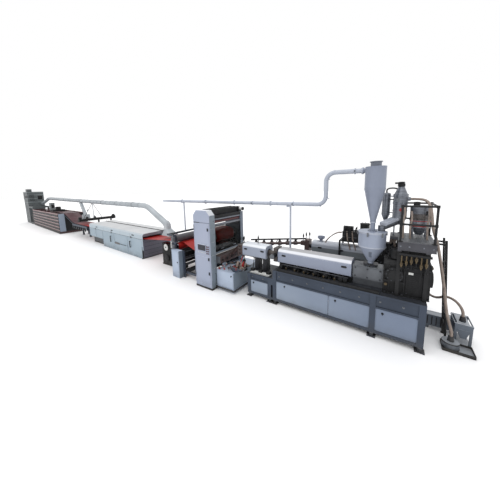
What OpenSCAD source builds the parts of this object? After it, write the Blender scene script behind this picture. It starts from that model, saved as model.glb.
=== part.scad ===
// Plastic sheet extrusion line: main and rear extruder, sheet die, calender, haul-off,
// oven, cutter, stacker and end tower in one row, with hopper loaders and an extraction duct.
// +X points upstream to the drive end, +Z is up, and the origin is under the middle of the line.

/* [Layout along the line] */
// Length of the suction bin
bin_len = 420; // [380:10:460]
// Gap between the suction bin and the extruder bed
bin_gap = 300; // [260:10:340]
// Gap between the die stand and the die trolley
trolley_gap = 330; // [300:10:360]
// Gap between the die trolley and the calender
cal_gap = 10; // [6:1:30]
// Gap between the calender and the haul-off
haul_gap = 770; // [700:10:840]
// Gap between the haul-off drive and the oven
oven_gap = 1180; // [1100:10:1260]
// Gap between the oven and the cutter
cut_gap = 400; // [350:10:450]
// Gap between the stacker and the end tower
tower_gap = 100; // [80:10:140]

/* [Main extruder] */
// Length of the main extruder bed
ext_len = 3020; // [2900:10:3150]
// Width of the main extruder bed
ext_w = 900; // [860:10:960]
// Height of the extruder beds
bed_h = 905; // [880:5:930]
// Height of the barrel axis above the floor
barrel_z = 1200; // [1190:5:1220]
// Diameter of the heated barrel
barrel_d = 180; // [160:5:200]
// Length of the barrel guard
guard_len = 1745; // [1700:5:1780]
// Width of the barrel guard
guard_w = 400; // [380:10:430]
// Height of the barrel guard's lower edge
guard_z = 1050; // [1035:5:1065]
// Height of the barrel guard itself
guard_h = 350; // [330:5:370]
// Length of the feed block under the hopper
feed_len = 550; // [530:5:580]
// Height of the feed block's top
feed_top = 1330; // [1310:5:1350]
// Length of the gearbox
gear_len = 350; // [330:5:370]
// Length of the drive motor
motor_len = 360; // [340:5:380]
// Width of the drive motor
motor_w = 460; // [430:5:470]

/* [Hopper and cyclone] */
// Diameter of the hopper
hopper_d = 500; // [470:5:520]
// How far the hopper's rim stands above the platform's deck
hopper_over = 90; // [70:5:110]
// Diameter of the cyclone
cyclone_d = 370; // [340:5:400]
// Height of the cyclone's round part
cyclone_cyl = 460; // [430:5:490]
// Height of the cyclone's cone
cyclone_cone = 670; // [640:5:700]
// Outer diameter of the conveying pipe
pipe_d = 100; // [90:2:110]
// Height of the long run of the conveying pipe
pipe_z = 2580; // [2550:5:2620]

/* [Loader platform] */
// Length of the platform
plat_len = 540; // [520:5:560]
// Height of the platform's deck
plat_h = 1960; // [1930:5:1990]
// Height of the railing above the deck
railing_h = 660; // [620:10:700]
// Diameter of the drying loader
dryer_d = 240; // [220:5:260]
// Diameter of the vacuum loader
loader_d = 310; // [290:5:330]

/* [Rear extruder] */
// Length of the rear extruder bed
rear_len = 2340; // [2250:10:2400]
// Width of the rear extruder bed
rear_w = 700; // [660:10:740]
// Distance of the rear extruder's axis behind the line's axis
rear_y = 1250; // [1230:5:1300]
// Length of the rear barrel guard
rear_guard_len = 1440; // [1400:10:1480]

/* [Die] */
// Length of the die stand
stand_len = 790; // [760:10:820]
// Height of the die stand
stand_h = 670; // [650:5:700]
// Width of the sheet die
die_w = 1200; // [1100:10:1240]
// Length of the die trolley
trolley_len = 680; // [650:10:710]
// Height of the die trolley's box
trolley_h = 620; // [600:5:640]

/* [Calender] */
// Length of the calender
cal_len = 690; // [660:10:720]
// Height of the calender's operator cabinet
cal_h = 2400; // [2360:10:2440]
// Depth of the operator cabinet
cabinet_d = 220; // [200:5:240]
// Diameter of the calender rolls
roll_d = 400; // [380:5:410]
// Length of the roll faces
roll_face = 1200; // [1160:10:1220]
// Height of the gap that the sheet enters between the lower rolls
nip_z = 900; // [890:5:915]

/* [Sheet] */
// Width of the extruded sheet
sheet_w = 840; // [760:10:850]
// Thickness of the extruded sheet
sheet_t = 5; // [4:0.5:8]

/* [Haul-off] */
// Length of the haul-off's side cabinets
haul_len = 690; // [660:10:720]
// How far the drive stand reaches downstream of the haul-off
drive_len = 1260; // [1220:10:1300]
// Diameter of the haul-off rolls
haul_roll_d = 270; // [250:5:280]
// Height of the sheet between the haul-off rolls
haul_z = 1150; // [1140:5:1170]
// Height of the haul-off's side cabinets
haul_h = 950; // [930:5:970]

/* [Oven] */
// Length of the oven table
oven_len = 6200; // [6000:20:6400]
// Length of the oven's lower body
oven_base_len = 4200; // [4000:20:4400]
// Height where the oven lid rests on its body
oven_h = 890; // [880:5:900]
// Height of the oven lid
lid_h = 260; // [240:5:280]

/* [Extraction duct] */
// Diameter of the extraction duct
duct_d = 250; // [230:5:270]
// Height of the duct's axis over the oven
duct_z = 2310; // [2270:10:2350]

/* [Cutter and stacker] */
// Length of the cutter
cut_len = 2700; // [2600:20:2800]
// Length of the ramp from the cutter to the stacker
ramp_len = 1800; // [1700:20:1900]
// Length of the stacker
stack_len = 8400; // [8000:50:8800]
// Width of the stacker
stack_w = 1560; // [1500:10:1620]
// Height of the stacker's posts
stack_h = 1500; // [1460:10:1540]
// Number of shelves in the stacker
shelf_count = 7; // [5:1:8]
// Length of the end tower
tower_len = 3540; // [3400:20:3700]
// Height of the end tower
tower_h = 3200; // [3100:20:3200]
// Length of the end tower's cabinet
tower_cab_len = 1900; // [1800:20:2000]

/* [Hidden] */
$fn = 48;

// Colours
slate = [0.22, 0.24, 0.29];
pale_blue = [0.72, 0.76, 0.84];
warm_white = [0.90, 0.90, 0.93];
steel = [0.62, 0.63, 0.66];
galvanised = [0.82, 0.83, 0.86];
black = [0.06, 0.06, 0.07];
copper = [0.45, 0.30, 0.26];
red = [0.80, 0.08, 0.07];
brown_red = [0.35, 0.14, 0.13];
hose_beige = [0.72, 0.62, 0.50];
smoked = [0.10, 0.10, 0.12];

// Shared sizes
overrun = 5;
fit = 0.3;
running = 5;
quarter = 90;
post = 100;
tube = 60;
thin_tube = 40;
plate = 6;

// Stations along the line, from the suction bin downstream
bin_l = -bin_len;
ext_r = bin_l - bin_gap;
ext_l = ext_r - ext_len;
stand_l = ext_l - stand_len;
trolley_r = stand_l - trolley_gap;
trolley_l = trolley_r - trolley_len;
cal_r = trolley_l - cal_gap;
cal_l = cal_r - cal_len;
haul_r = cal_l - haul_gap;
haul_l = haul_r - haul_len;
drive_l = haul_l - drive_len;
oven_r = drive_l - oven_gap;
oven_l = oven_r - oven_len;
cut_r = oven_l - cut_gap;
cut_l = cut_r - cut_len;
stack_r = cut_l - ramp_len;
stack_l = stack_r - stack_len;
tower_r = stack_l - tower_gap;
tower_l = tower_r - tower_len;

// Main extruder, from the drive end
motor_seat = 320;
gear_r = ext_r - motor_seat;
gear_l = gear_r - gear_len;
feed_l = gear_l - feed_len;
guard_gap = 25;
guard_r = feed_l - guard_gap;
guard_l = guard_r - guard_len;
barrel_nose = 50;
barrel_l = guard_l - barrel_nose;
hopper_off = 240;
hopper_x = gear_l - hopper_off;

// Beds
foot_h = 90;
foot_plate = 150;
foot_t = 15;
stem_d = 50;
sill_h = 60;
top_rail_h = 285;
low_rail_h = 180;
flange_t = 35;
web_in = 20;
deck_t = 15;
end_bay = 850;
panel_in = 12;
panel_t = 4;
panel_seam = 6;
panel_split_share = 0.62;
main_posts = [ext_l, ext_r - end_bay, ext_r - post];
stand_posts = [stand_l, ext_l - foot_plate - fit];
rear_r = gear_r + thin_tube;
rear_l = rear_r - rear_len;
rear_posts = [rear_l, rear_l + (rear_len - post) / 2, rear_r - post];
main_y = [-ext_w / 2, ext_w / 2];
rear_ys = [rear_y - rear_w / 2, rear_y + rear_w / 2];

// Origin under the middle of the whole line
roll_end_gap = 30;
cal_in = roll_face / 2 + roll_end_gap;
front_y = -cal_in - cabinet_d;
back_y = rear_ys[1] + (foot_plate - post) / 2;
origin_shift = [-tower_l / 2, -(front_y + back_y) / 2, 0];

// Barrel, its saddles and blowers
band_t = 12;
band_len = 190;
band_gap = 30;
band_count = 7;
nose_flange_t = 30;
nose_flange_d = 270;
saddle_len = 120;
saddle_w = 90;
saddle_inset = 260;
saddle_x = [guard_l + saddle_inset, guard_r - saddle_inset];
bracket_t = 15;
pedestal_w = 240;
blower_count = 4;
blower_len = 170;
blower_w = 300;
blower_top_gap = 15;
blower_mouth_d = 110;
blower_mouth_len = 20;
guard_r_edge = 90;
guard_t = 5;
guard_slot = barrel_d + 2 * band_t + 2 * overrun;

// Feed block, gearbox and motor
feed_w = 320;
feed_leg_w = 200;
gear_w = 480;
gear_edge = 70;
gear_lid_t = 25;
gear_lid_in = 60;
plat_beam = 150;
drive_room = 225;
gear_top = plat_h - plat_beam - drive_room - gear_lid_t;
motor_top = gear_top;
motor_edge = 50;
shaft_end_len = 40;
shaft_end_d = 300;
shaft_end_z = 1240;
fan_w = 300;
fan_in = 40;
fan_clear = 20;
fan_top = plat_h - plat_beam - fan_clear;

// Hopper and cyclone
neck_d = 110;
neck_h = 80;
seat_d = 210;
seat_t = 15;
hopper_wall = 4;
hopper_top = plat_h + hopper_over;
hopper_h = hopper_top - feed_top;
hopper_cone_share = 0.472;
hopper_cone_h = hopper_cone_share * hopper_h;
lid_t = 15;
lid_lip = 10;
lid_top = hopper_top + lid_t;
spout_d = 90;
spout_h = 185;
spout_seat_d = 170;
spout_seat_t = 12;
cyclone_top = lid_top + spout_h + cyclone_cone + cyclone_cyl;
cap_d = 190;
cap_bore_d = 140;
cap_h = 100;
cap_rim_t = 15;
cap_rim_d = 220;

// Conveying pipe
pipe_wall = 3;
pipe_bend_r = 200;
pipe_y = (cyclone_d - pipe_d) / 2;
pipe_top_gap = 10;
pipe_high_z = cyclone_top - pipe_d / 2 - pipe_top_gap;
stub_len = 60;
stub_l = hopper_x - cyclone_d / 2 - stub_len;
pipe_high_len = 990;
pipe_drop_x = hopper_x - pipe_high_len;
nozzle_off = 300;
nozzle_r = haul_l - nozzle_off;
nozzle_len = 1100;
nozzle_w = 260;
nozzle_t = 60;
nozzle_tip = 20;
pipe_flange_d = pipe_d + 40;
pipe_flange_t = 20;
flange_count = 4;
pipe_post_y = 300;
pipe_post_off = 130;

// Basic shapes between two coordinates on each axis
module blk(x, y, z) {
    translate([x[0], y[0], z[0]])
        cube([x[1] - x[0], y[1] - y[0], z[1] - z[0]]);
}

module rod_x(x, y, z, d) {
    translate([x[0], y, z])
        rotate([0, quarter, 0])
            cylinder(h = x[1] - x[0], d = d);
}

module rod_y(x, y, z, d) {
    translate([x, y[1], z])
        rotate([quarter, 0, 0])
            cylinder(h = y[1] - y[0], d = d);
}

module rod_z(x, y, z, d) {
    translate([x, y, z[0]])
        cylinder(h = z[1] - z[0], d = d);
}

// Round bar between two points
module strut(a, b, d) {
    v = b - a;
    translate(a)
        rotate([0, acos(v[2] / norm(v)), atan2(v[1], v[0])])
            cylinder(h = norm(v), d = d);
}

// Outline in XZ drawn out along Y
module drawn_y(y, points) {
    translate([0, y[1], 0])
        rotate([quarter, 0, 0])
            linear_extrude(y[1] - y[0])
                polygon(points);
}

// Outline in YZ drawn out along X
module drawn_x(x, points) {
    translate([x[0], 0, 0])
        rotate([quarter, 0, quarter])
            linear_extrude(x[1] - x[0])
                polygon(points);
}

module on_line() {
    translate(origin_shift)
        children();
}

// Bed of a machine: posts on feet, sills, channel rails and a deck
module bed_leg(x, y, h) {
    blk([x, x + post], [y, y + post], [foot_h, h]);
    rod_z(x + post / 2, y + post / 2, [0, foot_h], stem_d);
    blk([x + (post - foot_plate) / 2, x + (post + foot_plate) / 2],
        [y + (post - foot_plate) / 2, y + (post + foot_plate) / 2], [0, foot_t]);
}

module bed(x, y, h, posts, band) {
    for (px = posts, py = [y[0], y[1] - post])
        bed_leg(px, py, h);
    for (py = [y[0], y[1] - post]) {
        blk(x, [py, py + post], [foot_h, foot_h + sill_h]);
        blk(x, [py, py + post], [h - flange_t, h]);
        blk(x, [py, py + post], [h - band, h - band + flange_t]);
        blk(x, [py + web_in, py + post - web_in], [h - band, h]);
    }
    for (px = [x[0], x[1] - post]) {
        blk([px, px + post], y, [foot_h, foot_h + sill_h]);
        blk([px, px + post], y, [h - band, h]);
    }
    blk(x, y, [h - deck_t, h]);
}

// Panels between the posts of a bed's two long sides
module side_panels(x, y, h, band) {
    for (py = [y[0] + panel_in, y[1] - panel_in - panel_t])
        blk(x, [py, py + panel_t], [foot_h + sill_h, h - band]);
}

module end_panel(x, y, h, band) {
    blk([x, x + panel_t], [y[0] + post, y[1] - post], [foot_h + sill_h, h - band]);
}

// Guard with round upper edges, open below, slotted at both ends for the barrel
module guard_outline(w, h, r) {
    translate([-w / 2, 0])
        square([w, h - r]);
    translate([-w / 2 + r, 0])
        square([w - 2 * r, h]);
    for (side = [-1, 1])
        translate([side * (w / 2 - r), h - r])
            circle(r);
}

module guard(x, y, w, slot) {
    slot_z = barrel_z - guard_z;
    run = x[1] - x[0];
    translate([x[0], y, guard_z])
        rotate([quarter, 0, quarter])
            difference() {
                linear_extrude(run)
                    guard_outline(w, guard_h, guard_r_edge);
                translate([0, -overrun, guard_t])
                    linear_extrude(run - 2 * guard_t)
                        guard_outline(w - 2 * guard_t, guard_h - guard_t + overrun, guard_r_edge - guard_t);
                translate([-slot / 2, -overrun, -overrun])
                    cube([slot, slot_z + overrun, run + 2 * overrun]);
                translate([0, slot_z, -overrun])
                    cylinder(h = run + 2 * overrun, d = slot);
            }
}

module extruder_bed() {
    color(slate)
        on_line()
            bed([ext_l, ext_r], main_y, bed_h, main_posts, top_rail_h);
}

module bed_panels() {
    long_l = ext_l + post;
    long_r = ext_r - end_bay;
    split = long_l + panel_split_share * (long_r - long_l);
    color(pale_blue)
        on_line() {
            side_panels([long_l, split - panel_seam / 2], main_y, bed_h, top_rail_h);
            side_panels([split + panel_seam / 2, long_r], main_y, bed_h, top_rail_h);
            side_panels([long_r + post, ext_r - post], main_y, bed_h, top_rail_h);
            end_panel(ext_r - panel_in - panel_t, main_y, bed_h, top_rail_h);
            side_panels([stand_l + post, stand_posts[1]], main_y, stand_h, low_rail_h);
            end_panel(stand_l + panel_in, main_y, stand_h, low_rail_h);
            for (i = [0, 1])
                side_panels([rear_posts[i] + post, rear_posts[i + 1]], rear_ys, bed_h, top_rail_h);
            end_panel(rear_r - panel_in - panel_t, rear_ys, bed_h, top_rail_h);
            end_panel(rear_l + panel_in, rear_ys, bed_h, top_rail_h);
        }
}

module barrel() {
    band_l = guard_l + (guard_len - band_count * (band_len + band_gap) + band_gap) / 2;
    color(steel)
        on_line() {
            rod_x([barrel_l, feed_l], 0, barrel_z, barrel_d);
            rod_x([barrel_l, barrel_l + nose_flange_t], 0, barrel_z, nose_flange_d);
            for (i = [0 : band_count - 1]) {
                x = band_l + i * (band_len + band_gap);
                rod_x([x, x + band_len], 0, barrel_z, barrel_d + 2 * band_t);
            }
            for (x = saddle_x)
                blk([x - saddle_len / 2, x + saddle_len / 2], [-saddle_w / 2, saddle_w / 2],
                    [guard_z, barrel_z]);
        }
}

// Pedestals that carry the barrel and its guard, with the cooling blowers between them
module barrel_supports() {
    span = saddle_x[1] - saddle_x[0];
    pitch = span / (blower_count + 1);
    blower_top = guard_z - blower_top_gap;
    mouth_y = blower_w / 2 + blower_mouth_len;
    mouth_z = (bed_h + blower_top) / 2;
    color(black)
        on_line() {
            for (x = saddle_x) {
                blk([x - saddle_len / 2, x + saddle_len / 2], [-pedestal_w / 2, pedestal_w / 2],
                    [bed_h, guard_z]);
                blk([x - saddle_len / 2, x + saddle_len / 2], [-guard_w / 2, guard_w / 2],
                    [guard_z - bracket_t, guard_z]);
            }
            for (i = [1 : blower_count]) {
                x = saddle_x[0] + i * pitch;
                blk([x - blower_len / 2, x + blower_len / 2], [-blower_w / 2, blower_w / 2],
                    [bed_h, blower_top]);
                rod_y(x, [-mouth_y, mouth_y], mouth_z, blower_mouth_d);
            }
        }
}

module barrel_guard() {
    color(warm_white)
        on_line()
            guard([guard_l, guard_r], 0, guard_w, guard_slot);
}

module feed_block() {
    color(steel)
        on_line() {
            blk([feed_l, gear_l], [-feed_w / 2, feed_w / 2], [guard_z, feed_top]);
            blk([feed_l, gear_l], [-feed_leg_w / 2, feed_leg_w / 2], [bed_h, guard_z]);
        }
}

module gearbox() {
    half = gear_w / 2;
    outline = [
        [-half, bed_h], [half, bed_h], [half, gear_top - gear_edge], [half - gear_edge, gear_top],
        [gear_edge - half, gear_top], [-half, gear_top - gear_edge]
    ];
    color(black)
        on_line() {
            drawn_x([gear_l, gear_r], outline);
            blk([gear_l + gear_lid_in, gear_r - gear_lid_in], [gear_edge + gear_lid_in - half,
                half - gear_edge - gear_lid_in], [gear_top - gear_lid_t, gear_top + gear_lid_t]);
        }
}

// Square motor with a blower on top and a round end shield
module drive_motor() {
    half = motor_w / 2;
    motor_r = gear_r + motor_len;
    outline = [
        [-half, bed_h], [half, bed_h], [half, motor_top - motor_edge], [half - motor_edge, motor_top],
        [motor_edge - half, motor_top], [-half, motor_top - motor_edge]
    ];
    color(black)
        on_line() {
            drawn_x([gear_r, motor_r], outline);
            rod_x([motor_r, motor_r + shaft_end_len], 0, shaft_end_z, shaft_end_d);
            blk([gear_r + fan_in, motor_r - fan_in], [-fan_w / 2, fan_w / 2], [motor_top, fan_top]);
        }
}

module hopper() {
    r = hopper_d / 2;
    neck = neck_d / 2;
    cone_top = neck_h + hopper_cone_h;
    color(galvanised)
        on_line()
            translate([hopper_x, 0, feed_top])
                rotate_extrude()
                    polygon([
                        [neck - hopper_wall, 0], [seat_d / 2, 0], [seat_d / 2, seat_t], [neck, seat_t],
                        [neck, neck_h], [r, cone_top], [r, hopper_h], [r - hopper_wall, hopper_h],
                        [r - hopper_wall, cone_top + hopper_wall],
                        [neck - hopper_wall, neck_h + hopper_wall]
                    ]);
}

module hopper_lid() {
    color(galvanised)
        on_line()
            difference() {
                rod_z(hopper_x, 0, [hopper_top, lid_top], hopper_d + 2 * lid_lip);
                rod_z(hopper_x, 0, [hopper_top - overrun, lid_top + overrun], spout_d - 2 * hopper_wall);
            }
}

module cyclone_outline(r, neck, seat, low, high) {
    cone_z = spout_h + cyclone_cone;
    polygon([
        [0, low], [seat, low], [seat, spout_seat_t], [neck, spout_seat_t], [neck, spout_h],
        [r, cone_z], [r, high], [0, high]
    ]);
}

module cyclone() {
    r = cyclone_d / 2;
    neck = spout_d / 2;
    bore = neck - hopper_wall;
    high = spout_h + cyclone_cone + cyclone_cyl;
    color(galvanised)
        on_line()
            difference() {
                union() {
                    translate([hopper_x, 0, lid_top])
                        rotate_extrude()
                            cyclone_outline(r, neck, spout_seat_d / 2, 0, high);
                    rod_x([stub_l, hopper_x], pipe_y, pipe_high_z, pipe_d);
                    rod_x([stub_l, stub_l + pipe_flange_t], pipe_y, pipe_high_z, pipe_flange_d);
                }
                translate([hopper_x, 0, lid_top])
                    rotate_extrude()
                        cyclone_outline(r - hopper_wall, bore, bore, -overrun, high - hopper_wall);
                rod_x([stub_l - overrun, hopper_x], pipe_y, pipe_high_z, pipe_d - 2 * pipe_wall);
                rod_z(hopper_x, 0, [cyclone_top - 2 * hopper_wall, cyclone_top + overrun],
                    cap_bore_d + 2 * overrun);
            }
}

module cyclone_cap() {
    color(slate)
        on_line()
            difference() {
                union() {
                    rod_z(hopper_x, 0, [cyclone_top, cyclone_top + cap_h], cap_d);
                    rod_z(hopper_x, 0, [cyclone_top + cap_h - cap_rim_t, cyclone_top + cap_h], cap_rim_d);
                }
                rod_z(hopper_x, 0, [cyclone_top - overrun, cyclone_top + cap_h + overrun], cap_bore_d);
            }
}

module pipe_bend(x, z, turn, d) {
    translate([x, pipe_y, z])
        rotate([quarter, 0, 0])
            rotate([0, 0, turn])
                rotate_extrude(angle = quarter)
                    translate([pipe_bend_r, 0])
                        circle(d = d);
}

module pipe_run(d, reach) {
    high_bend = pipe_high_z - pipe_bend_r;
    low_bend = pipe_z + pipe_bend_r;
    rod_x([pipe_drop_x + pipe_bend_r, stub_l + reach], pipe_y, pipe_high_z, d);
    pipe_bend(pipe_drop_x + pipe_bend_r, high_bend, quarter, d);
    rod_z(pipe_drop_x, pipe_y, [low_bend, high_bend], d);
    pipe_bend(pipe_drop_x - pipe_bend_r, low_bend, -quarter, d);
    rod_x([nozzle_r - reach, pipe_drop_x - pipe_bend_r], pipe_y, pipe_z, d);
}

module conveying_pipe() {
    low_r = pipe_drop_x - pipe_bend_r;
    flange_pitch = (low_r - nozzle_r) / flange_count;
    color(galvanised)
        on_line() {
            hull() {
                rod_x([nozzle_r - nozzle_tip, nozzle_r], pipe_y, pipe_z, pipe_d, $fn = 32);
                blk([nozzle_r - nozzle_len, nozzle_r - nozzle_len + nozzle_tip],
                    [pipe_y - nozzle_w / 2, pipe_y + nozzle_w / 2],
                    [pipe_z - nozzle_t / 2, pipe_z + nozzle_t / 2]);
            }
            difference() {
                union() {
                    pipe_run(pipe_d, 0);
                    rod_x([stub_l - pipe_flange_t, stub_l], pipe_y, pipe_high_z, pipe_flange_d);
                    for (i = [0 : flange_count - 1]) {
                        x = nozzle_r + i * flange_pitch;
                        rod_x([x, x + pipe_flange_t], pipe_y, pipe_z, pipe_flange_d);
                    }
                }
                pipe_run(pipe_d - 2 * pipe_wall, 0);
            }
        }
}

// Posts of the pipe, one on the extruder bed and one on the haul-off's top beam
module pipe_posts() {
    first_x = ext_l + pipe_post_off;
    seat_z = pipe_z - pipe_d / 2 - fit;
    second_x = haul_arm_l + thin_tube / 2;
    color(galvanised)
        on_line() {
            blk([first_x, first_x + thin_tube], [pipe_post_y, pipe_post_y + thin_tube], [bed_h, seat_z]);
            blk([first_x, first_x + thin_tube], [pipe_y - thin_tube, pipe_post_y + thin_tube],
                [seat_z - thin_tube, seat_z]);
            blk([second_x, second_x + thin_tube], [pipe_y - thin_tube / 2, pipe_y + thin_tube / 2],
                [haul_top, seat_z]);
        }
}

// Loader platform over the drive
plat_clear = 190;
plat_l = hopper_x + hopper_d / 2 + plat_clear;
plat_r = plat_l + plat_len;
plat_front = -310;
plat_back = 640;
plat_ys = [plat_front, plat_back];
leg_ys = [plat_front, -plat_front - tube];
leg_xs = [plat_l, ext_r - tube - overrun];
wing_len = 140;
wing_front = 150;
ladder_gap = 180;
ladder_x = plat_r + ladder_gap;
ladder_lean = 120;
ladder_ys = [200, 480];
ladder_pad = 60;
rung_d = 26;
rung_pitch = 300;
rung_count = 6;
toe_t = 8;
rail_d = 36;
rail_in = 30;

module loader_platform() {
    color(steel)
        on_line() {
            for (x = leg_xs, y = leg_ys)
                blk([x, x + tube], [y, y + tube], [bed_h, plat_h - toe_t]);
            for (y = [plat_front, plat_back - tube])
                blk([plat_l, plat_r], [y, y + tube], [plat_h - plat_beam, plat_h]);
            for (x = [plat_l, plat_r - tube])
                blk([x, x + tube], plat_ys, [plat_h - plat_beam, plat_h]);
            blk([plat_l, plat_r], plat_ys, [plat_h - toe_t, plat_h]);
            blk([plat_l - wing_len, plat_l], [wing_front, plat_back], [plat_h - tube, plat_h]);
        }
}

// Tubular railing on three sides and the leaning ladder at the drive end
module platform_railing() {
    xs = [plat_l + rail_in, plat_r - rail_in];
    ys = [plat_front + rail_in, plat_back - rail_in];
    top = plat_h + railing_h;
    color(black)
        on_line() {
            for (x = xs, y = ys)
                rod_z(x, y, [plat_h, top], rail_d);
            for (z = [plat_h + railing_h / 2, top])
                for (y = ys)
                    rod_x(xs, y, z, rail_d);
            rod_y(xs[1], ys, top, rail_d);
            for (x = xs, y = ys)
                translate([x, y, top])
                    sphere(d = rail_d);
            for (y = ladder_ys) {
                strut([ladder_x + ladder_lean, y, foot_t / 2], [ladder_x, y, plat_h], rail_d);
                rod_x([plat_r, ladder_x + rail_d / 2], y, plat_h - plat_beam / 2, rail_d);
                blk([ladder_x + ladder_lean - ladder_pad / 2, ladder_x + ladder_lean + ladder_pad / 2],
                    [y - ladder_pad / 2, y + ladder_pad / 2], [0, foot_t]);
            }
            for (i = [1 : rung_count])
                rod_y(ladder_x + ladder_lean * (1 - i * rung_pitch / plat_h), ladder_ys,
                    i * rung_pitch, rung_d);
        }
}

// Drying loader on legs, with its chute to the hopper lid
dryer_off = 5;
dryer_x = plat_l - dryer_off;
dryer_y = 330;
dryer_legs_h = 360;
dryer_body_h = 480;
dryer_roof_h = 180;
dryer_cone_h = 130;
dryer_neck_d = 90;
dryer_leg_d = 24;
spigot_d = 80;
spigot_len = 35;
dryer_z = plat_h + dryer_legs_h;
dryer_spigot_z = dryer_z + dryer_body_h - spigot_d;
chute_d = 110;
chute_foot_d = 130;
chute_foot_h = 110;
chute_off = 150;
chute_x = hopper_x + chute_off;
chute_y = 120;
leg_angles = [45, 135, 225, 315];

module drying_loader() {
    r = dryer_d / 2;
    chute_top = dryer_z - dryer_cone_h / 2;
    color(steel)
        on_line() {
            translate([dryer_x, dryer_y, dryer_z])
                rotate_extrude()
                    polygon([
                        [0, -dryer_cone_h], [dryer_neck_d / 2, -dryer_cone_h], [r, 0], [r, dryer_body_h],
                        [dryer_neck_d / 2, dryer_body_h + dryer_roof_h], [0, dryer_body_h + dryer_roof_h]
                    ]);
            for (a = leg_angles)
                rod_z(dryer_x + (r - dryer_leg_d / 2) * cos(a), dryer_y + (r - dryer_leg_d / 2) * sin(a),
                    [plat_h, dryer_z + dryer_leg_d], dryer_leg_d);
            rod_x([dryer_x, dryer_x + r + spigot_len], dryer_y, dryer_spigot_z, spigot_d);
            rod_z(chute_x, chute_y, [lid_top, lid_top + chute_foot_h], chute_foot_d);
            strut([chute_x, chute_y, lid_top + chute_foot_h / 2], [dryer_x, dryer_y, chute_top], chute_d);
        }
}

// Vacuum loader on legs
loader_off = 220;
loader_x = plat_r - loader_off;
loader_y = 300;
loader_base_h = 60;
loader_cone_h = 150;
loader_body_h = 290;
loader_head_h = 130;
loader_head_d = 250;
loader_neck_d = 110;
loader_z = plat_h + loader_base_h;
loader_spigot_z = loader_z + loader_cone_h + loader_body_h - spigot_d;

module vacuum_loader() {
    r = loader_d / 2;
    cone = loader_cone_h;
    body = cone + loader_body_h;
    color(slate)
        on_line() {
            translate([loader_x, loader_y, loader_z])
                rotate_extrude()
                    polygon([
                        [0, 0], [loader_neck_d / 2, 0], [r, cone], [r, body], [loader_head_d / 2, body],
                        [loader_head_d / 2, body + loader_head_h], [0, body + loader_head_h]
                    ]);
            for (a = leg_angles)
                rod_z(loader_x + (r - dryer_leg_d / 2) * cos(a), loader_y + (r - dryer_leg_d / 2) * sin(a),
                    [plat_h, loader_z + cone + dryer_leg_d], dryer_leg_d);
            rod_y(loader_x, [loader_y, loader_y + r + spigot_len], loader_spigot_z, spigot_d);
        }
}

// Suction bin on legs with a trough at its back, a suction pot in front and a tray under both
bin_box_len = 240;
bin_front = 190;
bin_back = 600;
bin_h = 420;
bin_low = 150;
bin_side_h = 130;
bin_taper = 80;
bin_leg = 36;
tray_t = 20;
tray_edge = 150;
tray_near = -130;
trough_front = 530;
trough_back = 700;
trough_h = 300;
trough_low = 60;
trough_reach = 220;
pot_off = 110;
pot_d = 240;
pot_h = 150;
socket_h = 60;
socket_d = 80;
pot_x = bin_l + pot_off;
bin_socket = [-120, 340];

module suction_bin() {
    box_l = -bin_box_len;
    outline = [
        [box_l + bin_taper, bin_low], [-bin_taper, bin_low], [-bin_leg, bin_h - bin_side_h],
        [-bin_leg, bin_h], [box_l + bin_leg, bin_h], [box_l + bin_leg, bin_h - bin_side_h]
    ];
    color(steel)
        on_line() {
            drawn_y([bin_front, bin_back], outline);
            for (x = [box_l, -bin_leg], y = [bin_front, bin_back - bin_leg])
                blk([x, x + bin_leg], [y, y + bin_leg], [0, bin_h]);
            blk([bin_l - plate, 0], [tray_near, tray_edge], [0, tray_t]);
            blk([box_l, 0], [tray_edge, bin_back], [0, tray_t]);
            blk([bin_l - trough_reach, box_l + bin_taper], [trough_front, trough_back],
                [trough_low, trough_h]);
            blk([bin_l - trough_reach, bin_l - trough_reach + bin_taper], [trough_front, trough_back],
                [0, trough_low]);
            rod_z(pot_x, 0, [0, pot_h], pot_d);
            rod_z(pot_x, 0, [pot_h, pot_h + socket_h], socket_d);
            rod_z(bin_socket[0], bin_socket[1], [bin_h, bin_h + socket_h], socket_d);
        }
}

// Suction hoses from the loaders down to the bin
hose_d = 50;
hose_sides = 10;
long_hose_route = [
    [-1040, 330, 2720], [-1005, 330, 2720], [-943, 323, 2720], [-893, 306, 2717], [-851, 279, 2712],
    [-818, 246, 2702], [-792, 210, 2685], [-772, 173, 2660], [-756, 137, 2625], [-743, 106, 2580],
    [-732, 81, 2521], [-721, 67, 2449], [-709, 64, 2360], [-696, 67, 2260], [-676, 74, 2160],
    [-648, 84, 2060], [-616, 95, 1960], [-588, 104, 1840], [-560, 109, 1700], [-526, 110, 1520],
    [-495, 106, 1340], [-466, 100, 1160], [-440, 90, 980], [-415, 76, 800], [-388, 56, 630],
    [-354, 28, 480], [-322, 7, 365], [-310, 0, 280], [-310, 0, 210]
];
short_hose_route = [
    [-870, 490, 2380], [-870, 560, 2380], [-868, 640, 2366], [-862, 715, 2328], [-852, 780, 2262],
    [-838, 828, 2170], [-820, 858, 2060], [-798, 874, 1930], [-772, 882, 1780], [-742, 884, 1610],
    [-715, 882, 1430], [-698, 881, 1240], [-690, 880, 1050], [-690, 880, 861], [-679, 869, 778],
    [-646, 839, 706], [-597, 792, 655], [-538, 736, 632], [-477, 679, 640], [-422, 626, 678],
    [-388, 594, 714], [-333, 541, 751], [-272, 484, 759], [-213, 428, 736], [-164, 381, 685],
    [-131, 351, 613], [-120, 340, 530], [-120, 340, 480]
];

// Direction that no stretch of a hose runs along
hose_side = [1, 1, 0];

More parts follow.
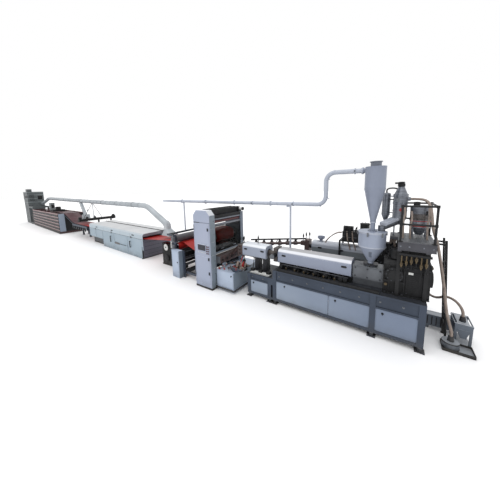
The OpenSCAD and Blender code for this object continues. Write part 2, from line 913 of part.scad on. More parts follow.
function unit(v) = v / norm(v);
function heading(p, i) =
    i == 0 ? unit(p[1] - p[0]) :
    i == len(p) - 1 ? unit(p[i] - p[i - 1]) :
    unit(p[i + 1] - p[i - 1]);
function ring(c, t, d) =
    let (a = unit(cross(t, hose_side)), b = cross(t, a))
    [for (k = [0 : hose_sides - 1])
        let (angle = 360 * k / hose_sides)
        c + d / 2 * (cos(angle) * a + sin(angle) * b)];

module hose(route) {
    rings = len(route);
    points = [for (i = [0 : rings - 1]) each ring(route[i], heading(route, i), hose_d)];
    walls = [
        for (i = [0 : rings - 2], k = [0 : hose_sides - 1])
            let (n = (k + 1) % hose_sides, a = i * hose_sides, b = a + hose_sides)
            [a + k, a + n, b + n, b + k]
    ];
    first = [for (k = [hose_sides - 1 : -1 : 0]) k];
    last = [for (k = [0 : hose_sides - 1]) (rings - 1) * hose_sides + k];
    polyhedron(points, concat(walls, [first, last]));
}

module long_hose() {
    color(hose_beige)
        on_line()
            hose(long_hose_route);
}

module short_hose() {
    color(hose_beige)
        on_line()
            hose(short_hose_route);
}

// Rear extruder
rear_guard_l = rear_l + post;
rear_guard_r = rear_guard_l + rear_guard_len;
rear_guard_w = 360;
rear_saddle_len = 120;
rear_saddle_in = 200;
rear_barrel_d = 120;
rear_gear_len = 300;
rear_gear_top = 1420;
rear_gear_w = 400;
rear_motor_d = 320;
rear_motor_z = 1180;
rear_motor_gap = 40;
rear_motor_r = rear_r - rear_motor_gap;
rear_feed_len = 160;
rear_feed_w = 240;

module rear_bed() {
    color(slate)
        on_line()
            bed([rear_l, rear_r], rear_ys, bed_h, rear_posts, top_rail_h);
}

// Guard of the rear barrel, on its own pedestals
module rear_guard() {
    y = [rear_y - rear_guard_w / 2, rear_y + rear_guard_w / 2];
    color(warm_white)
        on_line() {
            guard([rear_guard_l, rear_guard_r], rear_y, rear_guard_w, rear_barrel_d);
            for (x = [rear_guard_l + rear_saddle_in, rear_guard_r - rear_saddle_in])
                blk([x - rear_saddle_len / 2, x + rear_saddle_len / 2], y, [bed_h, guard_z]);
        }
}

// Barrel, feed block, gearbox and motor of the rear extruder
module rear_drive() {
    gear_x = rear_guard_r + rear_feed_len;
    motor_x = gear_x + rear_gear_len;
    feed_ys = [rear_y - rear_feed_w / 2, rear_y + rear_feed_w / 2];
    color(black)
        on_line() {
            rod_x([rear_l, rear_guard_r], rear_y, barrel_z, rear_barrel_d - 2 * overrun);
            blk([rear_guard_r, gear_x], feed_ys, [bed_h, feed_top]);
            blk([gear_x, motor_x], [rear_y - rear_gear_w / 2, rear_y + rear_gear_w / 2],
                [bed_h, rear_gear_top]);
            rod_x([motor_x, rear_motor_r], rear_y, rear_motor_z, rear_motor_d);
            blk([motor_x, rear_motor_r], feed_ys, [bed_h, rear_motor_z]);
        }
}

// Dosing unit on a stand over the rear extruder's feed block
dosing_len = 760;
dosing_l = rear_guard_r + rear_feed_len / 2 - dosing_len;
dosing_leg = 40;
dosing_w = 480;
dosing_z = 1540;
dosing_box_top = 1790;
dosing_t = 20;
dosing_box_in = 70;
dosing_head_d = 220;
dosing_head_h = 230;
dosing_motor_d = 130;
dosing_motor_len = 240;
dosing_spout_d = 120;

module dosing_unit() {
    x = [dosing_l, dosing_l + dosing_len];
    y = [rear_y - dosing_w / 2, rear_y + dosing_w / 2];
    head_x = dosing_l + dosing_len - dosing_head_d / 2 - dosing_box_in;
    motor_z = dosing_box_top + dosing_motor_d / 2;
    motor_xs = [x[0] + dosing_box_in, x[0] + dosing_box_in + dosing_motor_len];
    color(black)
        on_line() {
            for (px = [x[0], x[1] - dosing_leg], py = [y[0], y[1] - dosing_leg])
                blk([px, px + dosing_leg], [py, py + dosing_leg], [bed_h, dosing_z]);
            blk(x, y, [dosing_z - dosing_t, dosing_z]);
            blk([x[0] + dosing_box_in, x[1] - dosing_box_in], [y[0] + dosing_box_in, y[1] - dosing_box_in],
                [dosing_z, dosing_box_top]);
            rod_z(head_x, rear_y, [dosing_box_top, dosing_box_top + dosing_head_h], dosing_head_d);
            rod_x(motor_xs, rear_y, motor_z, dosing_motor_d);
            blk(motor_xs, [rear_y - dosing_motor_d / 2, rear_y + dosing_motor_d / 2],
                [dosing_box_top, motor_z]);
            rod_z(rear_guard_r + rear_feed_len / 2 - dosing_spout_d / 2 - dosing_leg, rear_y,
                [guard_z + guard_h, dosing_z], dosing_spout_d);
        }
}

// Screen changer, melt pump and feedblock between the barrel and the die
changer_r = barrel_l;
changer_len = 110;
changer_l = changer_r - changer_len;
changer_w = 300;
changer_low = 1030;
changer_top = 1400;
pump_gap = 20;
pump_off = 215;
pump_guard_r = changer_l - pump_off;
pump_guard_len = 785;
pump_guard_l = pump_guard_r - pump_guard_len;
pump_pipe_d = 140;
pump_leg_w = 220;
pump_leg_len = 120;
pump_leg_in = 30;
feedblock_len = 180;
feedblock_l = pump_guard_l - pump_gap - feedblock_len;
feedblock_r = feedblock_l + feedblock_len;
feedblock_w = 360;
feedblock_low = 1040;
feedblock_top = 1340;

module die_stand() {
    color(slate)
        on_line()
            bed([stand_l, ext_l], main_y, stand_h, stand_posts, low_rail_h);
}

module melt_pump() {
    legs = [stand_l + pump_leg_in, pump_guard_r - pump_leg_in - pump_leg_len];
    color(copper)
        on_line() {
            blk([changer_l, changer_r], [-changer_w / 2, changer_w / 2], [changer_low, changer_top]);
            rod_x([feedblock_r, changer_l], 0, barrel_z, pump_pipe_d);
            blk([feedblock_l, feedblock_r], [-feedblock_w / 2, feedblock_w / 2],
                [feedblock_low, feedblock_top]);
            for (x = legs) {
                blk([x, x + pump_leg_len], [-pump_leg_w / 2, pump_leg_w / 2], [stand_h, barrel_z]);
                blk([x, x + pump_leg_len], [-guard_w / 2, guard_w / 2], [guard_z - bracket_t, guard_z]);
            }
        }
}

module pump_guard() {
    color(warm_white)
        on_line()
            guard([pump_guard_l, pump_guard_r], 0, guard_w, guard_slot);
}

// Head of the rear extruder and the heated melt pipe that runs to the feedblock
head_len = 140;
head_w = 260;
head_low = 1040;
head_top = 1400;
melt_d = 80;
melt_band_d = 120;
melt_band_len = 110;
melt_band_count = 6;
melt_block = 130;
melt_z = 1270;
melt_turn = 80;

module melt_pipe() {
    head_r = rear_l;
    head_l = head_r - head_len;
    a = [head_l - melt_turn, rear_y, melt_z];
    b = [feedblock_l + feedblock_len / 2, feedblock_w / 2 + melt_turn, melt_z];
    color(steel)
        on_line() {
            blk([head_l, head_r], [rear_y - head_w / 2, rear_y + head_w / 2], [head_low, head_top]);
            rod_x([a[0], head_l], rear_y, melt_z, melt_d);
            rod_y(b[0], [feedblock_w / 2, b[1]], melt_z, melt_d);
            strut(a, b, melt_d);
            for (p = [a, b])
                translate(p)
                    cube(melt_block, center = true);
            for (i = [1 : melt_band_count]) {
                share = i / (melt_band_count + 1);
                c = a + share * (b - a);
                half = melt_band_len / 2 * unit(b - a);
                strut(c - half, c + half, melt_band_d);
            }
        }
}

// Sheet die on its trolley
die_len = 240;
die_h = 220;
die_gap = 330;
die_r = feedblock_l - die_gap;
die_l = die_r - die_len;
lip_len = 150;
lip_l = die_l - lip_len;
lip_h = 60;
die_low = nip_z - die_h / 2;
die_neck_d = 130;
die_post = 80;
die_post_in = 160;
neck_len = 80;
neck_x = feedblock_l - neck_len;
neck_depth = 60;

module sheet_die() {
    color(copper)
        on_line() {
            drawn_y([-die_w / 2, die_w / 2], [
                [lip_l, nip_z - sheet_t / 2], [die_l, nip_z - lip_h], [die_l, die_low], [die_r, die_low],
                [die_r, die_low + die_h], [die_l, die_low + die_h], [die_l, nip_z + lip_h],
                [lip_l, nip_z + sheet_t / 2]
            ]);
            rod_x([neck_x, feedblock_l], 0, barrel_z, die_neck_d);
            strut([neck_x, 0, barrel_z], [die_r - neck_depth, 0, nip_z], die_neck_d);
            translate([neck_x, 0, barrel_z])
                sphere(d = die_neck_d);
        }
}

trolley_front = -680;
trolley_back = 680;
trolley_base_h = 130;
trolley_skirt = 60;
trolley_bumper = 20;
castor_d = 90;
castor_w = 40;

// Die trolley: box on a dark base with wheels, and two posts under the die
module die_trolley() {
    wheel_xs = [trolley_l + castor_d, trolley_r - castor_d];
    wheel_ys = [trolley_front + castor_d, trolley_back - castor_d];
    post_x = die_r - die_post;
    color(pale_blue)
        on_line() {
            blk([trolley_l + trolley_bumper, trolley_r - trolley_bumper],
                [trolley_front + trolley_bumper, trolley_back - trolley_bumper],
                [trolley_skirt, trolley_h]);
            blk([trolley_l, trolley_r], [trolley_front, trolley_back], [trolley_skirt, trolley_base_h]);
            for (x = wheel_xs, y = wheel_ys)
                rod_y(x, [y - castor_w / 2, y + castor_w / 2], castor_d / 2, castor_d);
            for (y = [die_post_in - die_w / 2, die_w / 2 - die_post_in - die_post])
                blk([post_x, post_x + die_post], [y, y + die_post], [trolley_h, die_low]);
        }
}

// Scrap tray under the feedblock: a shallow funnel of sheet steel on the trolley's edge
tray_len = 420;
tray_seat = 180;
tray_l = trolley_r - tray_seat;
tray_w = 420;
tray_front = -560;
tray_h = 130;
tray_foot = 120;

module tray_outline(grow) {
    polygon([
        [tray_l + tray_foot / 2 - grow, trolley_h], [trolley_r + grow, trolley_h],
        [tray_l + tray_len + grow, trolley_h + tray_h], [tray_l - grow, trolley_h + tray_h]
    ]);
}

module scrap_tray() {
    y = [tray_front, tray_front + tray_w];
    color(slate)
        on_line()
            difference() {
                translate([0, y[1], 0])
                    rotate([quarter, 0, 0])
                        linear_extrude(tray_w)
                            tray_outline(0);
                translate([0, y[1] - plate, plate])
                    rotate([quarter, 0, 0])
                        linear_extrude(tray_w - 2 * plate)
                            tray_outline(-plate);
            }
}

// Calender
cal_mid = (cal_l + cal_r) / 2;
nip = sheet_t + 2 * running;
roll_pitch = roll_d + nip;
roll_zs = [nip_z - roll_pitch / 2, nip_z + roll_pitch / 2, nip_z + 3 * roll_pitch / 2];
journal_d = 90;
journal_depth = 120;
journal_play = 5;
cab_shoulder = 150;
cab_slope = 130;
back_frame_d = 140;
back_frame_h = 2240;
base_beam_low = 100;
base_beam_top = 260;
base_beam_w = 160;
tie_d = 60;
tie_zs = [1080, 1950, 2120];
tie_in = 15;
tie_x = cal_r - tie_d / 2 - tie_in;
idler_d = 90;
idler_in = 90;
idler_x = cal_l + idler_in;
exit_z = roll_zs[2] + roll_pitch / 2;
idler_z = exit_z - sheet_t / 2 - running - idler_d / 2;

module journal_bores(y) {
    for (z = roll_zs)
        rod_y(cal_mid, y, z, journal_d + 2 * fit);
}

module calender_cabinet() {
    shoulder = cal_h - cab_shoulder;
    color(warm_white)
        on_line()
            difference() {
                drawn_y([front_y, -cal_in], [
                    [cal_l, 0], [cal_r, 0], [cal_r, shoulder], [cal_r - cab_slope, cal_h],
                    [cal_l + cab_slope, cal_h], [cal_l, shoulder]
                ]);
                journal_bores([-cal_in - journal_depth, -cal_in + overrun]);
            }
}

// Far side frame of the calender, with the base beams, tie bars and the exit idler
module calender_frame() {
    across = [-cal_in, cal_in];
    color(slate)
        on_line() {
            difference() {
                blk([cal_l, cal_r], [cal_in, cal_in + back_frame_d], [0, back_frame_h]);
                journal_bores([cal_in - overrun, cal_in + journal_depth]);
            }
            for (x = [cal_l + tube, cal_r - tube - base_beam_w])
                blk([x, x + base_beam_w], across, [base_beam_low, base_beam_top]);
            for (z = tie_zs)
                rod_y(tie_x, across, z, tie_d);
            rod_y(idler_x, across, idler_z, idler_d);
        }
}

beam_low = 2240;
beam_top = 2400;
beam_l = cal_l + cab_slope;

module calender_top_beam() {
    color(black)
        on_line()
            blk([beam_l, cal_r - cab_slope], [-cal_in, cal_in + back_frame_d], [beam_low, beam_top]);
}

module calender_roll(z) {
    reach = cal_in + journal_depth - journal_play;
    color(steel)
        on_line() {
            rod_y(cal_mid, [-roll_face / 2, roll_face / 2], z, roll_d);
            rod_y(cal_mid, [-reach, reach], z, journal_d);
        }
}

module calender_roll_bottom() {
    calender_roll(roll_zs[0]);
}

module calender_roll_middle() {
    calender_roll(roll_zs[1]);
}

module calender_roll_top() {
    calender_roll(roll_zs[2]);
}

window_t = 10;
window_x = tie_x - window_t / 2;
window_low = tie_zs[0] + tie_d / 2;
window_top = tie_zs[1] - tie_d / 2;

module calender_window() {
    color(smoked)
        on_line()
            blk([window_x, window_x + window_t], [-cal_in, cal_in], [window_low, window_top]);
}

// Haul-off
haul_in = roll_face / 2 + roll_end_gap;
haul_plate_t = 40;
haul_cab_d = 160;
haul_roll_in = 150;
haul_mid = haul_l + haul_roll_in;
bearing_w = 200;
haul_arm_len = 240;
haul_arm_l = haul_l - haul_arm_len;
haul_cab_len = 390;
haul_cab_in = 200;
haul_cab_l = haul_l + haul_cab_in;
guide_off = 240;
guide_x = cal_l - guide_off;
guide_z = 910;
guide_d = 120;
guide_post = 80;
haul_pitch = haul_roll_d + nip;
haul_top_z = haul_z + haul_pitch / 2;
haul_low_z = haul_z - haul_pitch / 2;
haul_top = 1450;
haul_beam = 80;
haul_beam_low = 140;
haul_beam_top = 220;
haul_journal_d = 70;
haul_journal_play = 5;
tie_rail = 60;

// Side plates with bearing posts, cross beams, and the low rails and guide roll next to the calender
module haul_off_frame() {
    across = [-haul_in, haul_in];
    bearing = [haul_mid - bearing_w / 2, haul_mid + bearing_w / 2];
    color(slate)
        on_line()
            difference() {
                union() {
                    for (y = [-haul_in - haul_plate_t, haul_in]) {
                        blk([haul_l, haul_r], [y, y + haul_plate_t], [0, haul_h]);
                        blk(bearing, [y, y + haul_plate_t], [haul_h, haul_top]);
                        blk([haul_arm_l, bearing[0]], [y, y + haul_plate_t], [haul_top - tube, haul_top]);
                    }
                    for (x = [haul_l, haul_r - haul_beam])
                        blk([x, x + haul_beam], across, [haul_beam_low, haul_beam_top]);
                    blk([haul_arm_l, haul_arm_l + 2 * thin_tube], across, [haul_top - tube, haul_top]);
                    for (y = [-haul_in, haul_in - tie_rail]) {
                        blk([haul_r - haul_beam, cal_l], [y, y + tie_rail], [haul_beam_low, haul_beam_top]);
                        blk([guide_x - guide_post / 2, guide_x + guide_post / 2], [y, y + tie_rail],
                            [haul_beam_low, guide_z + guide_d / 2]);
                    }
                    rod_y(guide_x, across, guide_z, guide_d);
                }
                for (z = [haul_low_z, haul_top_z])
                    rod_y(haul_mid, [-haul_in - haul_plate_t - overrun, haul_in + haul_plate_t + overrun],
                        z, haul_journal_d + 2 * fit);
            }
}

module haul_off_cabinets() {
    outer = haul_in + haul_plate_t + haul_cab_d;
    inner = haul_in + haul_plate_t;
    color(pale_blue)
        on_line()
            for (y = [[-outer, -inner], [inner, outer]])
                blk([haul_cab_l, haul_cab_l + haul_cab_len], y, [0, haul_h]);
}

module haul_roll(z) {
    reach = haul_in + haul_plate_t - haul_journal_play;
    rod_y(haul_mid, [-roll_face / 2, roll_face / 2], z, haul_roll_d);
    rod_y(haul_mid, [-reach, reach], z, haul_journal_d);
}

module haul_off_top_roll() {
    color(black)
        on_line()
            haul_roll(haul_top_z);
}

module haul_off_bottom_roll() {
    color(steel)
        on_line()
            haul_roll(haul_low_z);
}

// Drive stand with its round pulley cover
drive_front = -260;
drive_back = 0;
drive_h = 880;
drive_in = 620;
pulley_d = 260;
pulley_t = 40;
pulley_z = 745;

module haul_off_drive() {
    x = [drive_l, haul_l - drive_in];
    color(black)
        on_line() {
            blk(x, [drive_front, drive_back], [0, drive_h]);
            rod_y((x[0] + x[1]) / 2, [drive_front - pulley_t, drive_front], pulley_z, pulley_d);
            blk([x[1], haul_l], [drive_front, drive_back], [0, haul_beam_low]);
        }
}

// Oven: body with a shallow channel, lid over it and the air plenum behind
oven_front = -440;
oven_seam = 495;
oven_back = 950;
oven_wall = 12;
oven_table_z = 840;
oven_lower_z = 400;
oven_lower_in = 100;
oven_roof_z = 1000;
oven_roll_d = 60;
oven_roll_in = 60;
oven_roll_count = 8;
run_z = 925;
under_sheet = run_z - sheet_t / 2 - fit;
lid_step = 15;
lid_edge = 60;
plenum_gap = 10;
outfeed_box_in = 150;

module oven_body() {
    low_r = oven_r - oven_lower_in;
    low_l = low_r - oven_base_len;
    tunnel = [oven_front + oven_wall, oven_seam - oven_wall];
    pitch = (oven_len - 2 * oven_roll_in) / (oven_roll_count - 1);
    color(pale_blue)
        on_line()
            difference() {
                union() {
                    blk([oven_l, oven_r], [oven_front, oven_back], [oven_lower_z, oven_h]);
                    blk([low_l, low_r], [oven_front, oven_back], [0, oven_lower_z]);
                    blk([oven_l + outfeed_box_in, low_l - outfeed_box_in],
                        [oven_front + outfeed_box_in, oven_back - outfeed_box_in], [0, oven_lower_z]);
                }
                blk([oven_l - overrun, oven_r + overrun], tunnel, [oven_table_z, oven_h + overrun]);
            }
    color(steel)
        on_line()
            for (i = [0 : oven_roll_count - 1])
                rod_y(oven_r - oven_roll_in - i * pitch, tunnel, under_sheet - oven_roll_d / 2, oven_roll_d);
}

module oven_lid() {
    top = oven_h + lid_h;
    color(warm_white)
        on_line()
            drawn_x([oven_l, oven_r], [
                [oven_front, oven_h], [oven_front + oven_wall, oven_h],
                [oven_front + oven_wall, oven_roof_z],
                [oven_seam - oven_wall, oven_roof_z], [oven_seam - oven_wall, oven_h], [oven_seam, oven_h],
                [oven_seam, top], [oven_front + lid_edge, top - lid_step],
                [oven_front, top - lid_edge - lid_step]
            ]);
}

module oven_plenum() {
    top = oven_h + lid_h + lid_step;
    color(warm_white)
        on_line()
            blk([oven_l, oven_r], [oven_seam + plenum_gap, oven_back], [oven_h, top]);
}

// Extraction hood over the sheet in front of the oven, hung from the duct
hood_lap = 460;
hood_r = drive_l + hood_lap;
hood_len = 500;
hood_l = hood_r - hood_len;
hood_half = 200;
hood_low = 1180;
hood_rim = 40;
hood_top = 1450;
hood_y = 0;
hood_mouth_x = hood_l + duct_d / 2;

module duct_hood() {
    color(galvanised)
        on_line()
            hull() {
                blk([hood_l, hood_r], [-hood_half, hood_half], [hood_low, hood_low + hood_rim]);
                rod_z(hood_mouth_x, hood_y, [hood_top - hood_rim, hood_top], duct_d);
            }
}

// Stacker posts
stack_post = 90;
bays = 4;
stack_pitch = (stack_len - stack_post) / bays;

// Extraction duct: up from the hood, along the line, a branch over the cutter, down to the tower
duct_y = 300;
duct_collar = 12;
duct_neck = 150;
duct_start_in = 790;
duct_start_x = oven_r - duct_start_in;
duct_rise = 200;
duct_slope_len = 2600;
duct_end_z = 1980;
duct_stub = 180;
duct_wall_x = tower_l + tower_cab_len;
duct_foot_x = duct_wall_x + duct_stub;
duct_end_x = duct_foot_x + duct_slope_len;
duct_start = [duct_start_x, duct_y, duct_z];
duct_stop = [duct_end_x, duct_y, duct_z + duct_rise];
branch_d = 200;
branch_low = 1350;
branch_top_share = 0.512;
branch_lean = 800;
branch_half = 200;
branch_rim_low = 1130;
branch_rim = 30;
branch_top = duct_start + branch_top_share * (duct_stop - duct_start);
branch_x = branch_top[0] + branch_lean;

module duct_line() {
    mouth = [hood_mouth_x, hood_y, hood_top + duct_neck];
    foot = [duct_foot_x, duct_y, duct_end_z];
    rod_z(mouth[0], mouth[1], [hood_top, mouth[2]], duct_d);
    strut(mouth, duct_start, duct_d);
    strut(duct_start, duct_stop, duct_d);
    strut(duct_stop, foot, duct_d);
    rod_x([duct_wall_x, duct_foot_x], duct_y, duct_end_z, duct_d);
    half = duct_d / 2 + duct_collar;
    for (p = [mouth, duct_start, duct_stop, foot])
        rod_y(p[0], [p[1] - half, p[1] + half], p[2], 2 * half);
}

// Branch with its own small hood, and the rod that seats the duct on the cutter's beam
module duct_branch() {
    rod_x_at = beam_x + beam_w / 2;
    rod_share = (duct_start_x - rod_x_at) / (duct_start_x - duct_end_x);
    strut([branch_x, duct_y, branch_low], branch_top, branch_d);
    drawn_y([duct_y - branch_half, duct_y + branch_half], [
        [branch_x - branch_half, branch_rim_low], [branch_x + branch_half, branch_rim_low],
        [branch_x + branch_d / 2 + branch_rim, branch_low + branch_d / 2],
        [branch_x - branch_d / 2 - branch_rim, branch_low + branch_d / 2]
    ]);
    rod_top = duct_z + rod_share * duct_rise - duct_d / 2 + 2 * duct_collar;
    rod_z(rod_x_at, duct_y, [cut_beam_top, rod_top], thin_tube);
}

module extraction_duct() {
    color(galvanised)
        on_line() {
            duct_line();
            duct_branch();
        }
}

// Cutter: table frame with feed rolls and a transverse beam
cut_half = 470;
cut_h = 880;
cut_post = 90;
cut_rail = 120;
cut_leg_y = 60;
table_roll_d = 80;
table_roll_count = 6;
ramp_share = 0.9;

module cutter_frame() {
    ys = [-cut_half, cut_half];
    pitch = cut_len / table_roll_count;
    first_roll = cut_l + pitch / 2;
    color(slate)
        on_line() {
            for (x = [cut_l, (cut_l + cut_r - cut_post) / 2, cut_r - cut_post]) {
                for (y = [cut_leg_y, cut_half - cut_post])
                    blk([x, x + cut_post], [y, y + cut_post], [0, cut_h - cut_rail]);
                blk([x, x + cut_post], ys, [cut_h - 2 * cut_rail, cut_h - cut_rail]);
            }
            for (y = [-cut_half, cut_half - cut_post])
                blk([cut_l, cut_r], [y, y + cut_post], [cut_h - cut_rail, cut_h]);
            for (i = [0 : table_roll_count - 1])
                rod_y(first_roll + i * pitch, ys, under_sheet - table_roll_d / 2, table_roll_d);
            for (y = ys)
                strut([cut_l + cut_post, y * ramp_share, cut_h - cut_post / 2],
                    [stack_r, y * ramp_share, stack_h - cut_rail], cut_post / 2);
        }
}

// Transverse beam on two posts with its motor at the far end
beam_off = 1100;
beam_x = cut_r - beam_off;
beam_w = 240;
cut_beam_low = 1180;
cut_beam_top = 1300;
beam_front = -560;
beam_back = 1400;
beam_post = 80;
beam_motor_d = 240;
beam_motor_len = 200;

module cutter_beam() {
    x = [beam_x, beam_x + beam_w];
    motor_z = (cut_beam_low + cut_beam_top) / 2;
    color(black)
        on_line() {
            blk(x, [beam_front, beam_back], [cut_beam_low, cut_beam_top]);
            for (y = [cut_half + beam_post, beam_back - beam_post])
                blk([x[0], x[0] + beam_post], [y, y + beam_post], [0, cut_beam_low]);
            rod_y(x[0] + beam_w / 2, [beam_back, beam_back + beam_motor_len], motor_z, beam_motor_d);
        }
}

// Stacker: posts, base and end plates around the shelves
stack_base_h = 160;
stack_base_in = 60;
shelf_t = 70;
shelf_first = 240;

module stacker_frame() {
    half = stack_w / 2;
    color(slate)
        on_line() {
            for (i = [0 : bays], y = [-half, half - stack_post]) {
                x = stack_l + i * stack_pitch;
                blk([x, x + stack_post], [y, y + stack_post], [0, stack_h]);
            }
            for (y = [-half + stack_base_in, half - stack_post])
                blk([stack_l, stack_r], [y, y + stack_post - stack_base_in], [0, stack_base_h]);
            for (x = [stack_l, stack_r - stack_post])
                blk([x, x + stack_post], [-half, half], [0, stack_base_h]);
            for (i = [0 : bays])
                blk([stack_l + i * stack_pitch, stack_l + i * stack_pitch + stack_post], [-half, half],
                    [stack_h - stack_post, stack_h]);
        }
}

module stacker_shelves() {
    half = stack_w / 2 - stack_post;
    pitch = (stack_h - stack_post - shelf_first - shelf_t) / shelf_count;
    color(brown_red)
        on_line()
            for (i = [0 : shelf_count - 1])
                blk([stack_l + stack_post, stack_r - stack_post], [-half, half],
                    [shelf_first + i * pitch, shelf_first + i * pitch + shelf_t]);
}

// End tower: tall cabinet with a box on top and a frame next to the stacker
tower_front = -780;
tower_back = 440;
tower_post = 120;
tower_cap_len = 800;
tower_cap_w = 320;
tower_cap_h = 270;
tower_cap_in = 60;
tower_mid_h = 1750;
tower_beam = 150;

module end_tower() {
    x = [tower_l, tower_r];
    y = [tower_front, tower_back];
    cab_r = tower_l + tower_cab_len;
    color(pale_blue)
        on_line() {
            blk([tower_l, cab_r], y, [0, tower_h]);
            blk([cab_r - tower_cap_in - tower_cap_len, cab_r - tower_cap_in],
                [y[0] + tower_cap_in, y[0] + tower_cap_in + tower_cap_w], [tower_h, tower_h + tower_cap_h]);
            for (py = [y[0], y[1] - tower_post]) {
                blk([tower_r - tower_post, tower_r], [py, py + tower_post], [0, tower_mid_h]);
                blk(x, [py, py + tower_post], [tower_mid_h - tower_beam, tower_mid_h]);
                blk([tower_l, stack_l], [py, py + tower_post], [0, tower_beam]);
            }
            blk([tower_r - tower_post, tower_r], y, [tower_mid_h - tower_beam, tower_mid_h]);
        }
}

// Sheet: from the die lips through the rolls, over the idler, under the guide roll, through the
// haul-off and the oven, over the cutter's table and up the ramp. Its middle line is given a
// thickness on both sides.
wrap_r = roll_pitch / 2;
wrap_steps = 24;
sheet_over = sheet_t / 2 + fit;
run_out_x = cut_l + cut_post;
idler_r = exit_z - idler_z;
guide_r = guide_d / 2 + running + sheet_t / 2;
fall = [idler_x - guide_x, idler_z - guide_z];
fall_angle = atan2(fall[1], fall[0]) + asin((idler_r + guide_r) / norm(fall));
rise = [guide_x - haul_mid - wrap_r, haul_z - guide_z];
rise_angle = atan2(rise[1], rise[0]) + asin(guide_r / norm(rise));
turn_steps = 8;

function arc(z, from, to) = [
    for (i = [1 : wrap_steps - 1])
        let (a = from + (to - from) * i / wrap_steps)
        [cal_mid + wrap_r * cos(a), z + wrap_r * sin(a)]
];
function turn(c, r, from, to) = [
    for (i = [0 : turn_steps])
        let (a = from + (to - from) * i / turn_steps)
        c + r * [cos(a), sin(a)]
];
function left_of(v) = [-v[1], v[0]];
function side_step(p, i) =
    let (
        n = len(p),
        a = i == 0 ? unit(p[1] - p[0]) : unit(p[i] - p[i - 1]),
        b = i == n - 1 ? a : unit(p[i + 1] - p[i]),
        m = unit(a + b)
    )
    left_of(m) / (m * b);

sheet_path = concat(
    [[lip_l, nip_z], [cal_mid, nip_z]],
    arc(roll_zs[1], 3 * quarter, quarter),
    [[cal_mid, roll_zs[1] + wrap_r]],
    arc(roll_zs[2], -quarter, quarter),
    [[cal_mid, exit_z]],
    turn([idler_x, idler_z], idler_r, quarter, quarter + fall_angle),
    turn([guide_x, guide_z], guide_r, 3 * quarter + fall_angle, 3 * quarter - rise_angle),
    [
        [haul_mid + wrap_r, haul_z], [haul_mid - wrap_r, haul_z],
        [oven_r, run_z], [run_out_x, run_z],
        [stack_r, stack_h + sheet_over], [stack_r - stack_pitch - stack_post, stack_h + sheet_over]
    ]
);

module plastic_sheet() {
    n = len(sheet_path);
    upper = [for (i = [0 : n - 1]) sheet_path[i] + sheet_t / 2 * side_step(sheet_path, i)];
    lower = [for (i = [n - 1 : -1 : 0]) sheet_path[i] - sheet_t / 2 * side_step(sheet_path, i)];
    color(red)
        on_line()
            drawn_y([-sheet_w / 2, sheet_w / 2], concat(upper, lower));
}

extruder_bed();
bed_panels();
barrel();
barrel_supports();
barrel_guard();
feed_block();
gearbox();
drive_motor();
hopper();
hopper_lid();
cyclone();
cyclone_cap();
conveying_pipe();
pipe_posts();
loader_platform();
platform_railing();
drying_loader();
vacuum_loader();
suction_bin();
long_hose();
short_hose();
rear_bed();
rear_guard();
rear_drive();
dosing_unit();
melt_pipe();
die_stand();
melt_pump();
pump_guard();
sheet_die();
die_trolley();
scrap_tray();
calender_cabinet();
calender_frame();
calender_top_beam();
calender_roll_bottom();
calender_roll_middle();
calender_roll_top();
calender_window();
haul_off_frame();
haul_off_cabinets();
haul_off_top_roll();
haul_off_bottom_roll();
haul_off_drive();
oven_body();
oven_lid();
oven_plenum();
duct_hood();
extraction_duct();
cutter_frame();
cutter_beam();
stacker_frame();
stacker_shelves();
end_tower();
plastic_sheet();
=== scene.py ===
# Looks of a plastic sheet extrusion line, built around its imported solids.
# Lengths are millimetres along the line, as in the part's source.
# at() turns them into the frame's metres.
import math
import random

import bmesh
import bpy
from mathutils import Matrix, Vector


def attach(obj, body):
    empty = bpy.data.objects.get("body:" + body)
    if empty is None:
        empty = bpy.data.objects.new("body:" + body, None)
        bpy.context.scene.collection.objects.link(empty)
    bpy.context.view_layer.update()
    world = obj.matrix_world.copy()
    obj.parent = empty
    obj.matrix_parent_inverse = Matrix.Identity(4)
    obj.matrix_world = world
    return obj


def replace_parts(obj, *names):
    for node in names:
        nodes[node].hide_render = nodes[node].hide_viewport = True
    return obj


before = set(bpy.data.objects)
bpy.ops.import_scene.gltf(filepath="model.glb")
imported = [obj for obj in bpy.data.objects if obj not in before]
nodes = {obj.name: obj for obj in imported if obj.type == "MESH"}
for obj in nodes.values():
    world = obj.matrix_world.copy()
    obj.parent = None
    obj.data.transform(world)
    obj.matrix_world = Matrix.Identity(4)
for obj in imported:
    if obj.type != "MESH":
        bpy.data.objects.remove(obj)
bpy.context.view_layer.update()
chance = random.Random(7)

MM = 0.001
ORIGIN = Vector((16.640, -0.3875, 0.0))
ROOT = "line"
UP = (0, 0, 1)
FRONT = (0, -1, 0)
BACK = (0, 1, 0)
ALONG = (1, 0, 0)

# Camera found from the photograph's vanishing points: metres, degrees of yaw, pitch and roll, and lens
CAMERA_SPOT = (15.40, -5.4305, 3.0)
CAMERA_TURN = (36.403, 7.529, -1.374)
CAMERA_LENS = 15.12
CAMERA_SHIFT = (0.0131, -0.0669)
SENSOR = 36.0

# Places that several pieces share, in millimetres along the line
DECK = 905
RAIL_Z = 762
HOPPER_X = -1630
PIPE_Y = 135
PIPE_Z = 2580
HIGH_PIPE_Z = 3320
REAR_Y = 1250
ROLL_X = -5895
BETWEEN_SIDES = (-628, 628)
HAUL_X = -7550
LOWER_ROLL_Z = 1007.5
UPPER_ROLL_Z = 1292.5
OVEN = (-16340, -10140)
OVEN_END = (-10142, -10134)
DUCT_Y = 300
STACK = (-29640, -21240)


def at(x, y, z):
    return Vector((x * MM, y * MM, z * MM)) + ORIGIN


